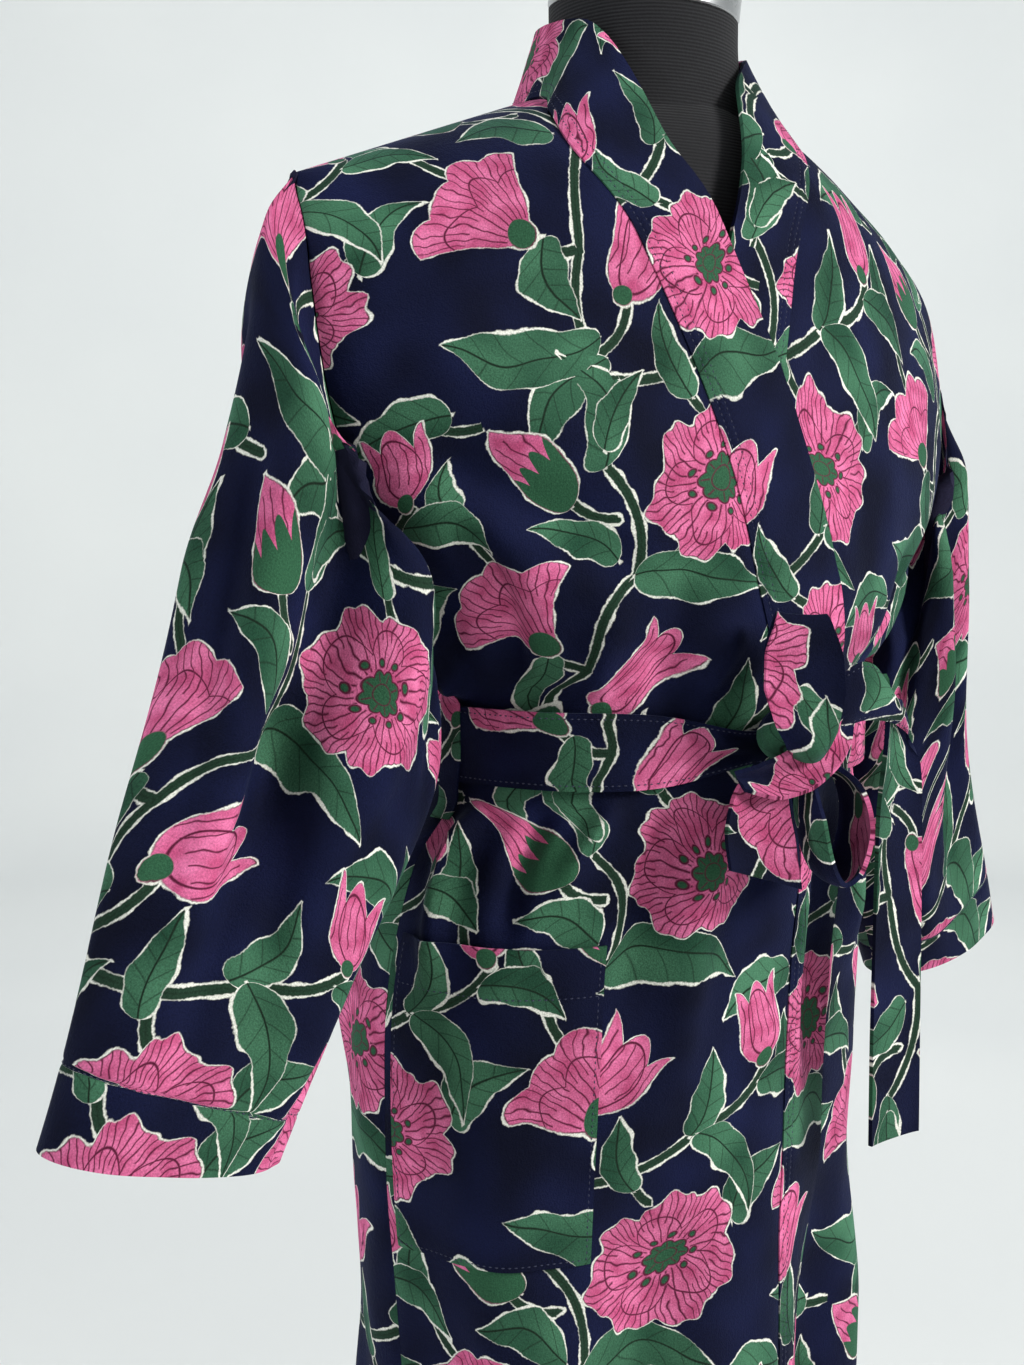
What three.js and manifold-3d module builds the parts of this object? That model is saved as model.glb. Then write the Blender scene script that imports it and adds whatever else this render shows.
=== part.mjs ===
// Kimono robe with a tied belt, hanging closed on a limbless dress form.
// Millimetres, +Z up, the front faces -Y and the wearer's left is +X.
// The origin is the middle of the stand's underside, on the floor.
// The right front laps over the left front, and both sleeves hang empty.

import * as THREE from 'three';
import { mergeVertices } from 'three/addons/utils/BufferGeometryUtils.js';
import Module from 'manifold-3d';

const wasm = await Module();
wasm.setup();

// Driving dimensions

const WALL = 1.8; // one layer of velvet
const BAND_WALL = 3.0; // the neck band is folded double
const BELT_WALL = 2.6; // the belt is folded double too
const SEAM_GAP = 0.3; // sewn pieces stop this far apart
const FOLD_GAP = 1.0; // added where the sleeve folds back over the armhole
const FOLDED_BACK = 0.3; // sine of the turn from which that gap is full
const LEAVES_PANEL = [-0.05, 0.1]; // sines between which the sleeve leaves the panel's plane
const HEM_Z = 230; // bottom edge of the robe
const WAIST_Z = 1050; // middle of the belt
const UNDERARM_Z = 1135; // where side seam and sleeve meet
const SHOULDER_Z = 1362; // outer end of the shoulder seam
const SHOULDER_HALF = 256; // half the width between the shoulder ends
const ARCH = 75; // drop over which the shoulder rounds over
const NECK_HALF = 92; // half the neck opening, at the shoulder seam
const NECK_DROP = 18; // how far the back neckline dips below the shoulder seam
const BAND_WIDTH = 56;
const BAND_PROUD = 0.9; // the double band stands above the panel
const LAP_DEPTH = 3.8; // the left front lies this far under the right one
const LAP_REACH = 100; // the lap reaches this far past the right front's seam
const LAP_EASE = 48; // and the left front comes back up over this width
const BELT_WIDTH = 43;
const BELT_OFF = 2.4; // belt's inner face above the panels
const LEFT_LEAN = 42; // the left sleeve's hem hangs this much closer to the body
const RIGHT_TUCK = 22; // the right sleeve's inner edge hangs this much closer to the waist
const SLEEVE_TOP_BEND = 0.3; // share of the sleeve over which its end settles
const MIDDLE_ROUND = 20; // rounding of the shoulder line at the neck

// Band where it leaves the front and stands round the neck
const STAND_START_Z = 1296;
const STAND_RADIUS = 69; // the band's free edge round the neck
const STAND_Z = 1482;
const STAND_RISE = 8; // the free edge is this much higher behind
const STAND_FALL = 10; // and this much lower in front

// Soft flutes of the skirt, as waves round the body
const FLUTES = [
  { waves: 7, phase: 0.6, share: 2 / 3 },
  { waves: 11, phase: -1, share: 1 / 3 },
];

// The long hollow down the front of each sleeve, as a turn and a width in radians
const HOLLOW_TURN = 1.25;
const HOLLOW_WIDTH = 0.3;

// Rows and columns of the solids
const SKIRT_TOP_Z = 900;
const SKIRT_ROWS = 9;
const WAIST_LEVELS = [940, 980, 1014, 1028, 1050, 1072, 1086, 1108];
const ARM_ROWS = 10;
const FRONT_COLUMNS = 12;
const NECK_COLUMNS = 6;
const BAND_COLUMNS = 3;
const SLEEVE_ROWS = 15;
const BELT_STEPS = 56;
const RIBBON_COLUMNS = 2;
const KNOT_RINGS = 9;
const KNOT_SIDES = 16;
const FORM_RINGS = 16;
const FORM_SIDES = 28;

// Steps for slopes taken from the surface
const ANGLE_STEP = 0.02;
const LEVEL_STEP = 1;

// Section columns: level at the side, rise of the middle above it, half width,
// front and back depth, middle of the depth, armhole angle, squareness, flute depth
const BODY = [
  { z: 230, rise: 0, half: 168, front: 116, back: 116, mid: 20, arm: 90, square: 0.97, flute: 9 },
  { z: 480, rise: 0, half: 167, front: 115, back: 116, mid: 22, arm: 90, square: 0.97, flute: 8 },
  { z: 650, rise: 0, half: 170, front: 118, back: 119, mid: 24, arm: 90, square: 0.97, flute: 6 },
  { z: 800, rise: 0, half: 181, front: 126, back: 126, mid: 27, arm: 90, square: 0.97, flute: 4 },
  { z: 900, rise: 0, half: 184, front: 130, back: 126, mid: 24, arm: 90, square: 0.97, flute: 3 },
  { z: 980, rise: 0, half: 173, front: 129, back: 118, mid: 12, arm: 90, square: 0.97, flute: 3 },
  { z: 1022, rise: 0, half: 150, front: 125, back: 112, mid: 4, arm: 90, square: 0.98, flute: 1 },
  { z: 1080, rise: 0, half: 150, front: 126, back: 114, mid: 2, arm: 90, square: 0.98, flute: 1 },
  { z: 1106, rise: 0, half: 168, front: 135, back: 124, mid: 0, arm: 90, square: 0.98, flute: 2 },
  { z: 1135, rise: 0, half: 190, front: 139, back: 130, mid: 0, arm: 90, square: 0.98, flute: 2 },
  { z: 1180, rise: 10, half: 236, front: 138, back: 131, mid: 0, arm: 80, square: 0.99, flute: 1 },
  { z: 1240, rise: 40, half: 264, front: 131, back: 126, mid: 2, arm: 76, square: 1, flute: 0 },
  { z: 1300, rise: 72, half: 267, front: 120, back: 118, mid: 4, arm: 78, square: 1, flute: 0 },
  { z: 1340, rise: 91, half: 261, front: 110, back: 110, mid: 4, arm: 82, square: 1, flute: 0 },
  { z: 1362, rise: 99, half: 256, front: 100, back: 104, mid: 3, arm: 90, square: 1, flute: 0 },
];

// Where each front is sewn to its band: x at each level
const SEAMS = [
  { z: 230, right: 14, left: -40 },
  { z: 960, right: 14, left: -40 },
  { z: 1050, right: -10, left: -40 },
  { z: 1133, right: -42, left: -38 },
  { z: 1182, right: -58, left: -30 },
  { z: 1214, right: -72, left: -20 },
  { z: 1251, right: -91, left: -3 },
  { z: 1294, right: -112, left: 20 },
  { z: 1331, right: -127, left: 50 },
  { z: 1353, right: -116, left: 74 },
  { z: 1362, right: -92, left: 92 },
];

// Sleeve sections from the armhole to the hem: outer and inner fold, depths each way
const SLEEVE = [
  { at: 0.0, outX: 256, outZ: 1362, inX: 190, inZ: 1135, y: 0, front: 42, back: 42, fold: 0 },
  { at: 0.07, outX: 275, outZ: 1337, inX: 197, inZ: 1116, y: -2, front: 48, back: 44, fold: 1 },
  { at: 0.2, outX: 285, outZ: 1284, inX: 201, inZ: 1082, y: -6, front: 54, back: 44, fold: 6 },
  { at: 0.4, outX: 307, outZ: 1205, inX: 204, inZ: 1030, y: -10, front: 54, back: 42, fold: 12 },
  { at: 0.6, outX: 332, outZ: 1107, inX: 218, inZ: 973, y: -12, front: 48, back: 40, fold: 12 },
  { at: 0.8, outX: 364, outZ: 998, inX: 245, inZ: 911, y: -10, front: 42, back: 38, fold: 7 },
  { at: 1.0, outX: 401, outZ: 880, inX: 276, inZ: 850, y: -6, front: 40, back: 38, fold: 2 },
];

// Dress form sections
const FORM = [
  { z: 820, half: 146, front: 100, back: 104, mid: 14 },
  { z: 880, half: 156, front: 106, back: 110, mid: 14 },
  { z: 960, half: 142, front: 98, back: 100, mid: 8 },
  { z: 1050, half: 114, front: 88, back: 84, mid: 0 },
  { z: 1120, half: 134, front: 102, back: 92, mid: 0 },
  { z: 1190, half: 154, front: 116, back: 100, mid: 0 },
  { z: 1270, half: 168, front: 106, back: 104, mid: 2 },
  { z: 1340, half: 178, front: 94, back: 96, mid: 3 },
  { z: 1386, half: 182, front: 82, back: 86, mid: 3 },
];
const FORM_LIFT = 69; // rise of the form's middle above its shoulder ends
const FORM_END_DROP = 14; // rounding of the form's shoulder ends
const FORM_END_POWER = 8; // how late that rounding starts
const FORM_TOP_Z = 1386;
const FORM_TOP_HALF = 182;
const FORM_TOP_FLAT = 0.4; // the last ring stops this far under the top
const FORM_FOOT_Z = 820;
const FORM_FOOT_TAPER = 0.9; // the foot draws in to this share
const FORM_FOOT_DROP = 12; // over this height

// Neck of the form, up to its cap
const NECK = [
  { z: 1395, wide: 96, deep: 74 },
  { z: 1412, wide: 82, deep: 67 },
  { z: 1426, wide: 73, deep: 63 },
  { z: 1440, wide: 67, deep: 61 },
  { z: 1456, wide: 63, deep: 60 },
  { z: 1476, wide: 60, deep: 60 },
  { z: 1498, wide: 60, deep: 60 },
];
const NECK_TILT = THREE.MathUtils.degToRad(8.6);
const CAP_HEIGHT = 28;
const POLE_RADIUS = 12;
const BASE_RADIUS = 190;
const BASE_THICK = 12;

// Pocket on the right front, from its inner edge round to the side seam
const POCKET_INNER = -112;
const POCKET_OUTER = THREE.MathUtils.degToRad(-87);
const POCKET_SAG = 4; // its lower edge curves down by this much
const POCKET_SKEW = 1.4; // and the curve is deepest at half of this share
const POCKET_COLUMNS = 8;
const POCKET_OFF = 0.8; // its inner face above the front
const POCKET_LEVELS = [767, 800, 840, 880, 915, 948];

// Belt carriers: height of each point and its distance from the panels
const CARRIER_WIDTH = 15;
const CARRIER_WALL = 1.6;
const CARRIER = [
  { z: 1007, off: 0.9 },
  { z: 1014, off: 0.9 },
  { z: 1026, off: 5.3 },
  { z: 1074, off: 5.3 },
  { z: 1086, off: 0.9 },
  { z: 1093, off: 0.9 },
];

// The knot and the pieces of belt that come out of it
const KNOT = { x: -24, y: -142.2, z: 1059, wide: 22, deep: 16, high: 17 };
const KNOT_CREASE = 0.07; // share by which its sides swell and sink
const KNOT_LAST = 8.7; // the rings stop short of the knot's poles, in ring steps
const KNOT_FIRST = 0.35;
const LOBE = [
  { x: -37, y: -150, z: 1060, yaw: 30, dip: 0, wide: 0.75 },
  { x: -42, y: -148, z: 1082, yaw: 34, dip: -3, wide: 1 },
  { x: -43, y: -149, z: 1108, yaw: 36, dip: -3, wide: 1 },
  { x: -43, y: -155, z: 1124, yaw: 38, dip: -3, wide: 0.8 },
  { x: -44, y: -164, z: 1123, yaw: 38, dip: -3, wide: 0.8 },
  { x: -45, y: -169, z: 1104, yaw: 36, dip: -3, wide: 1 },
  { x: -43, y: -168, z: 1082, yaw: 34, dip: -3, wide: 1 },
  { x: -36, y: -160, z: 1064, yaw: 30, dip: 0, wide: 0.75 },
];
const BOW_LOOP = [
  { x: -12, y: -147, z: 1050, yaw: 120, dip: 0, wide: 0.4 },
  { x: 2, y: -161, z: 1032, yaw: 118, dip: 0, wide: 0.8 },
  { x: 6, y: -164, z: 1008, yaw: 116, dip: 0, wide: 0.9 },
  { x: -2, y: -161, z: 984, yaw: 115, dip: 0, wide: 0.9 },
  { x: -12, y: -158, z: 979, yaw: 115, dip: 0, wide: 0.9 },
  { x: -22, y: -157, z: 990, yaw: 115, dip: 0, wide: 0.9 },
  { x: -29, y: -156, z: 1016, yaw: 116, dip: 0, wide: 0.9 },
  { x: -24, y: -147, z: 1046, yaw: 118, dip: 0, wide: 0.4 },
];
const TAIL_LONG = [
  { x: -10, y: -148, z: 1068, yaw: -10, dip: -70, wide: 0.6 },
  { x: 14, y: -157, z: 1078, yaw: -14, dip: -70, wide: 0.8 },
  { x: 42, y: -157, z: 1071, yaw: -20, dip: -50, wide: 1 },
  { x: 62, y: -148, z: 1044, yaw: -14, dip: -20, wide: 1 },
  { x: 71, y: -139, z: 1004, yaw: -8, dip: 0, wide: 1 },
  { x: 75, y: -134, z: 936, yaw: -8, dip: 0, wide: 1 },
  { x: 76, y: -132, z: 870, yaw: -6, dip: 0, wide: 1 },
  { x: 76, y: -131, z: 809, yaw: -6, dip: 0, wide: 1 },
];
const TAIL_SHORT = [
  { x: -42, y: -139, z: 1046, yaw: 30, dip: 0, wide: 0.6 },
  { x: -53, y: -139, z: 1030, yaw: 28, dip: 0, wide: 0.8 },
  { x: -58, y: -144, z: 1008, yaw: 26, dip: 0, wide: 1 },
  { x: -57, y: -149, z: 984, yaw: 26, dip: -8, wide: 1 },
];
const WRAP = [
  { x: -68, y: -147, z: 1031, yaw: 220, dip: 69, wide: 0.5 },
  { x: -52, y: -154, z: 1036, yaw: 220, dip: 69, wide: 0.46 },
  { x: -30, y: -160, z: 1047, yaw: 220, dip: 69, wide: 0.42 },
  { x: -10, y: -159, z: 1055, yaw: 220, dip: 69, wide: 0.4 },
  { x: 1, y: -157, z: 1058, yaw: 220, dip: 69, wide: 0.36 },
];

// Metal cap on the neck, measured up from its seat
const CAP_PROFILE = [
  { radius: 0, height: 0 },
  { radius: 59, height: 0 },
  { radius: 61, height: 2 },
  { radius: 61, height: CAP_HEIGHT - 6 },
  { radius: 58, height: CAP_HEIGHT - 2 },
  { radius: 50, height: CAP_HEIGHT },
  { radius: 0, height: CAP_HEIGHT + 2 },
];

// Pole and base, as profiles of radius and height
const POLE_TOP_Z = FORM_FOOT_Z - FORM_FOOT_DROP - SEAM_GAP;
const POLE_PROFILE = [
  { radius: 0, height: BASE_THICK + SEAM_GAP },
  { radius: 30, height: BASE_THICK + SEAM_GAP },
  { radius: 28, height: BASE_THICK + 10 },
  { radius: POLE_RADIUS + 3, height: BASE_THICK + 22 },
  { radius: POLE_RADIUS, height: BASE_THICK + 40 },
  { radius: POLE_RADIUS, height: POLE_TOP_Z - 30 },
  { radius: 24, height: POLE_TOP_Z - 10 },
  { radius: 24, height: POLE_TOP_Z },
  { radius: 0, height: POLE_TOP_Z },
];
const BASE_PROFILE = [
  { radius: 0, height: 0 },
  { radius: BASE_RADIUS - 3, height: 0 },
  { radius: BASE_RADIUS, height: 3 },
  { radius: BASE_RADIUS, height: BASE_THICK - 4 },
  { radius: BASE_RADIUS - 6, height: BASE_THICK },
  { radius: 0, height: BASE_THICK },
];

// Smooth table reading and small helpers

function column(rows, key, name, at) {
  const last = rows.length - 1;
  if (at <= rows[0][key]) return rows[0][name];
  if (at >= rows[last][key]) return rows[last][name];
  let i = 0;
  while (rows[i + 1][key] < at) i += 1;
  const slope = (j) => {
    const a = Math.max(0, j - 1);
    const b = Math.min(last, j + 1);
    return (rows[b][name] - rows[a][name]) / (rows[b][key] - rows[a][key]);
  };
  const span = rows[i + 1][key] - rows[i][key];
  const t = (at - rows[i][key]) / span;
  const t2 = t * t;
  const t3 = t2 * t;
  return (2 * t3 - 3 * t2 + 1) * rows[i][name] + (t3 - 2 * t2 + t) * span * slope(i)
    + (3 * t2 - 2 * t3) * rows[i + 1][name] + (t3 - t2) * span * slope(i + 1);
}

function smoothstep(from, to, value) {
  const t = Math.min(1, Math.max(0, (value - from) / (to - from)));
  return t * t * (3 - 2 * t);
}

const power = (value, exponent) => Math.sign(value) * Math.abs(value) ** exponent;
const vec = (x, y, z) => new THREE.Vector3(x, y, z);
const mix = (a, b, t) => a.clone().lerp(b, t);

// Share of the way from the middle to the shoulder end, rounded at the middle
function fromMiddle(x, half) {
  return (Math.hypot(x, MIDDLE_ROUND) - MIDDLE_ROUND) / (half - MIDDLE_ROUND);
}

// The garment's own surface: angle 0 is the front middle, +90 degrees the wearer's left

function bodyPoint(angle, level) {
  const row = (name) => column(BODY, 'z', name, level);
  const drop = Math.min(1, (SHOULDER_Z - level) / ARCH);
  const arch = Math.sqrt(Math.max(0, 1 - (1 - drop) ** 2));
  const square = row('square');
  const waves = FLUTES.map((flute) => flute.share * Math.cos(flute.waves * angle + flute.phase));
  const flute = row('flute') * (waves[0] + waves[1]);
  const x = (row('half') + flute) * power(Math.sin(angle), square);
  const depth = ((Math.cos(angle) > 0 ? row('front') : row('back')) + flute) * arch;
  const y = row('mid') - depth * power(Math.cos(angle), square);
  return vec(x, y, level + row('rise') * (1 - fromMiddle(x, SHOULDER_HALF)));
}

function bodyNormal(angle, level) {
  const top = Math.min(level + LEVEL_STEP, SHOULDER_Z - LEVEL_STEP / 100);
  const here = Math.min(level, top);
  const along = bodyPoint(angle + ANGLE_STEP, here).sub(bodyPoint(angle - ANGLE_STEP, here));
  const up = bodyPoint(angle, top).sub(bodyPoint(angle, top - 2 * LEVEL_STEP));
  const normal = along.cross(up).normalize();
  if (level > SHOULDER_Z - LEVEL_STEP / 2) normal.setY(0).normalize();
  return normal;
}

function angleAt(x, level) {
  const sine = Math.abs(x) / column(BODY, 'z', 'half', level);
  return Math.sign(x) * Math.asin(Math.min(1, sine ** (1 / column(BODY, 'z', 'square', level))));
}

const armAngle = (level) => THREE.MathUtils.degToRad(Math.min(90, column(BODY, 'z', 'arm', level)));

// Levels shared by the panels, so that sewn edges follow each other

const skirtLevels = Array.from({ length: SKIRT_ROWS }, (_, i) => {
  return HEM_Z + i * (SKIRT_TOP_Z - HEM_Z) / (SKIRT_ROWS - 1);
});
const armLevels = Array.from({ length: ARM_ROWS + 1 }, (_, i) => {
  const share = (1 - Math.cos(Math.PI * i / ARM_ROWS)) / 2;
  return UNDERARM_Z + (SHOULDER_Z - UNDERARM_Z) * share;
});
const LEVELS = [...skirtLevels, ...WAIST_LEVELS, ...armLevels];

// Solids from grids of points

function meshFrom(points, faces) {
  const geometry = new THREE.BufferGeometry();
  const numbers = points.flatMap((p) => p.toArray());
  geometry.setAttribute('position', new THREE.Float32BufferAttribute(numbers, 3));
  geometry.setIndex(faces.flat());
  return geometry;
}

// A wall: rows of outer points and normals, closed round when ring is true
function wall(rows, normals, thick, ring = false) {
  const high = rows.length;
  const wide = rows[0].length;
  const outer = rows.flat();
  const under = normals.flat();
  const inner = outer.map((p, k) => p.clone().addScaledVector(under[k], -thick));
  const at = (j, i, side) => side * high * wide + j * wide + (i % wide);
  const faces = [];
  const quad = (a, b, c, d) => faces.push([a, b, c], [a, c, d]);
  const columns = ring ? wide : wide - 1;
  for (let j = 0; j < high - 1; j += 1) {
    for (let i = 0; i < columns; i += 1) {
      quad(at(j, i, 0), at(j, i + 1, 0), at(j + 1, i + 1, 0), at(j + 1, i, 0));
      quad(at(j, i, 1), at(j + 1, i, 1), at(j + 1, i + 1, 1), at(j, i + 1, 1));
    }
  }
  for (let i = 0; i < columns; i += 1) {
    quad(at(0, i, 1), at(0, i + 1, 1), at(0, i + 1, 0), at(0, i, 0));
    quad(at(high - 1, i, 0), at(high - 1, i + 1, 0), at(high - 1, i + 1, 1), at(high - 1, i, 1));
  }
  if (!ring) {
    for (let j = 0; j < high - 1; j += 1) {
      quad(at(j, 0, 0), at(j + 1, 0, 0), at(j + 1, 0, 1), at(j, 0, 1));
      quad(at(j, wide - 1, 1), at(j + 1, wide - 1, 1), at(j + 1, wide - 1, 0), at(j, wide - 1, 0));
    }
  }
  return meshFrom([...outer, ...inner], faces);
}

// Normals of a grid from its own points
function gridNormals(rows, ring = false) {
  const wide = rows[0].length;
  return rows.map((row, j) => row.map((_, i) => {
    const left = ring ? (i + wide - 1) % wide : Math.max(0, i - 1);
    const right = ring ? (i + 1) % wide : Math.min(wide - 1, i + 1);
    const below = Math.max(0, j - 1);
    const above = Math.min(rows.length - 1, j + 1);
    const along = row[right].clone().sub(row[left]);
    return along.cross(rows[above][i].clone().sub(rows[below][i])).normalize();
  }));
}

// A solid through rings, closed by a fan at each end
function loft(rings) {
  const wide = rings[0].length;
  const points = rings.flat();
  const faces = [];
  for (let j = 0; j < rings.length - 1; j += 1) {
    for (let i = 0; i < wide; i += 1) {
      const a = j * wide + i;
      const b = j * wide + (i + 1) % wide;
      faces.push([a, b, b + wide], [a, b + wide, a + wide]);
    }
  }
  for (const end of [0, rings.length - 1]) {
    const middle = rings[end].reduce((sum, p) => sum.add(p), vec(0, 0, 0)).divideScalar(wide);
    points.push(middle);
    for (let i = 0; i < wide; i += 1) {
      const a = end * wide + i;
      const b = end * wide + (i + 1) % wide;
      faces.push(end === 0 ? [b, a, points.length - 1] : [a, b, points.length - 1]);
    }
  }
  return meshFrom(points, faces);
}

// Merges the shared corners of a turned shape
function closed(geometry) {
  geometry.deleteAttribute('normal');
  geometry.deleteAttribute('uv');
  return mergeVertices(geometry, 1e-4);
}

function toManifold(geometry) {
  const vertProperties = new Float32Array(geometry.getAttribute('position').array);
  const triVerts = new Uint32Array(geometry.getIndex().array);
  return new wasm.Manifold(new wasm.Mesh({ numProp: 3, vertProperties, triVerts }));
}

function fromManifold(manifold) {
  const { vertProperties, triVerts } = manifold.getMesh();
  const geometry = new THREE.BufferGeometry();
  geometry.setAttribute('position', new THREE.BufferAttribute(vertProperties, 3));
  geometry.setIndex(new THREE.BufferAttribute(triVerts, 1));
  return geometry;
}

// Fronts, back and bands

// How deep a layer lies under the right front and its band
function lapUnder(x, level) {
  const edge = column(SEAMS, 'z', 'right', level) + LAP_REACH;
  return LAP_DEPTH * (1 - smoothstep(edge, edge + LAP_EASE, x));
}

function panelPoint(angle, level, side, out) {
  const normal = bodyNormal(angle, level);
  const point = bodyPoint(angle, level).addScaledVector(normal, out);
  return { point: point.setY(point.y + side * SEAM_GAP / 2), normal };
}

// side is -1 for the right front and +1 for the left front
function frontGrid(side) {
  const name = side < 0 ? 'right' : 'left';
  return LEVELS.map((level) => {
    const seam = angleAt(column(SEAMS, 'z', name, level), level);
    const edge = side * armAngle(level);
    return Array.from({ length: FRONT_COLUMNS + 1 }, (_, i) => {
      const share = i / FRONT_COLUMNS;
      const angle = side < 0 ? edge + (seam - edge) * share : seam + (edge - seam) * share;
      const under = side < 0 ? 0 : -lapUnder(bodyPoint(angle, level).x, level);
      return panelPoint(angle, level, -1, under);
    });
  });
}

const pointsOf = (grid) => grid.map((row) => row.map((cell) => cell.point));
const normalsOf = (grid) => grid.map((row) => row.map((cell) => cell.normal));

function front(side) {
  const grid = frontGrid(side);
  return wall(pointsOf(grid), normalsOf(grid), WALL);
}

const NECK_ANGLE = angleAt(NECK_HALF, SHOULDER_Z);

// The back's columns run from the left armhole round behind to the right one
function backAngles(level) {
  const edge = armAngle(level);
  const across = [];
  for (let i = 0; i <= FRONT_COLUMNS; i += 1) {
    across.push(Math.PI - (edge + (NECK_ANGLE - edge) * i / FRONT_COLUMNS));
  }
  for (let i = 1; i < NECK_COLUMNS; i += 1) {
    across.push(Math.PI - NECK_ANGLE * (1 - 2 * i / NECK_COLUMNS));
  }
  return across.concat(across.slice(0, FRONT_COLUMNS + 1).map((angle) => 2 * Math.PI - angle).reverse());
}

// Levels are squeezed under the neckline's dip
function backLevel(angle, level) {
  const share = Math.min(1, Math.abs(Math.PI - angle) / NECK_ANGLE);
  const dip = NECK_DROP * (1 - share ** 2);
  return level < UNDERARM_Z ? level : level - dip * (level - UNDERARM_Z) / (SHOULDER_Z - UNDERARM_Z);
}

// The back is sewn to the fronts at armAngle mirrored behind
function backGrid() {
  return LEVELS.map((level) => backAngles(level).map((angle) => {
    return panelPoint(angle, backLevel(angle, level), 1, 0);
  }));
}

function back() {
  const grid = backGrid();
  return wall(pointsOf(grid), normalsOf(grid), WALL);
}

// The band's free edge where it stands round the neck
function standPoint(from) {
  const angle = Math.atan2(from.y, from.x);
  const behind = STAND_RISE * Math.max(0, Math.sin(angle));
  const ahead = STAND_FALL * Math.max(0, -Math.sin(angle));
  const x = STAND_RADIUS * Math.cos(angle);
  const y = STAND_RADIUS * Math.sin(angle);
  return vec(x, y, STAND_Z + behind - ahead);
}

const clampLevel = (level) => Math.min(SHOULDER_Z, Math.max(HEM_Z, level));

// The angle and level that a step of the band's width along a direction covers
function widthStep(seam, level, across) {
  const low = Math.min(level, SHOULDER_Z - 12 * LEVEL_STEP);
  const reach = 5 * LEVEL_STEP;
  const half = ANGLE_STEP / 2;
  const round = bodyPoint(seam + half, low).sub(bodyPoint(seam - half, low)).divideScalar(2 * half);
  const rising = bodyPoint(seam, low + reach).sub(bodyPoint(seam, low - reach)).divideScalar(2 * reach);
  const skew = round.dot(rising);
  const area = round.lengthSq() * rising.lengthSq() - skew ** 2;
  const turn = (across.dot(round) * rising.lengthSq() - across.dot(rising) * skew) / area;
  const lift = (across.dot(rising) * round.lengthSq() - across.dot(round) * skew) / area;
  return { turn: BAND_WIDTH * turn, lift: BAND_WIDTH * lift };
}

// At each level: the band's sewn edge, its free edge and what lies between
function bandStations(side) {
  const name = side < 0 ? 'right' : 'left';
  const seamAngle = (level) => angleAt(column(SEAMS, 'z', name, level), level);
  const seamPoint = (level) => bodyPoint(seamAngle(level), level);
  return LEVELS.map((level) => {
    const seam = seamAngle(level);
    const layer = BAND_PROUD - (side < 0 ? 0 : lapUnder(seamPoint(level).x, level));
    const sewn = panelPoint(seam, level, -1, layer);
    const reach = 6 * LEVEL_STEP;
    const along = seamPoint(clampLevel(level + reach)).sub(seamPoint(clampLevel(level - reach)));
    const across = along.normalize().cross(sewn.normal).multiplyScalar(-side).normalize();
    const { turn, lift } = widthStep(seam, level, across);
    const flatLevel = clampLevel(level + lift);
    const flat = panelPoint(seam + turn, flatLevel, -1, layer).point;
    const stand = smoothstep(STAND_START_Z, SHOULDER_Z, level);
    const free = mix(flat, standPoint(sewn.point), stand);
    const push = Math.max(1, STAND_RADIUS / Math.hypot(free.x, free.y));
    free.set(free.x * push, free.y * push, free.z);
    return { sewn: sewn.point, free, normal: sewn.normal, seam, turn, level, flatLevel, stand, layer };
  });
}

// Rows from the hem up the front and round the back of the neck to its middle
function bandGrid(side) {
  const rows = bandStations(side).map((station) => {
    return Array.from({ length: BAND_COLUMNS + 1 }, (_, i) => {
      const share = i / BAND_COLUMNS;
      const level = station.level + (station.flatLevel - station.level) * share;
      const curved = panelPoint(station.seam + station.turn * share, level, -1, station.layer).point;
      const ruled = mix(station.sewn, station.free, share);
      const point = mix(curved, ruled, station.stand);
      const start = station.free.clone().sub(station.sewn).setLength(SEAM_GAP);
      return i === 0 ? point.add(start) : point;
    });
  });
  const grid = backGrid();
  const top = grid[grid.length - 1];
  const first = side < 0 ? FRONT_COLUMNS + NECK_COLUMNS : FRONT_COLUMNS;
  for (let i = 1; i <= NECK_COLUMNS / 2; i += 1) {
    const sewn = top[first + side * i].point.clone();
    if (i === NECK_COLUMNS / 2) sewn.setX(side * SEAM_GAP / 2);
    const free = standPoint(sewn);
    if (i === NECK_COLUMNS / 2) free.setX(side * SEAM_GAP / 2);
    const start = free.clone().sub(sewn).setLength(SEAM_GAP);
    sewn.add(start);
    rows.push(Array.from({ length: BAND_COLUMNS + 1 }, (_, k) => mix(sewn, free, k / BAND_COLUMNS)));
  }
  return side < 0 ? rows : rows.map((row) => row.reverse());
}

function band(side) {
  const rows = bandGrid(side);
  const normals = gridNormals(rows);
  const sewn = side < 0 ? 0 : rows[0].length - 1;
  bandStations(side).forEach(({ normal, stand }, j) => {
    normals[j][sewn].lerp(normal, 1 - stand).normalize();
  });
  normals[normals.length - 1].forEach((normal) => normal.setX(0).normalize());
  return wall(rows, normals, BAND_WALL);
}

// Sleeves: the first ring follows the armhole, then sections down to the hem

function armholeLoop(side) {
  const frontEdge = armLevels.map((level) => panelPoint(side * armAngle(level), level, -1, 0));
  const backEdge = armLevels.map((level) => panelPoint(Math.PI - side * armAngle(level), level, 1, 0));
  return [...frontEdge.reverse(), ...backEdge.slice(1, -1)];
}

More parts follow.
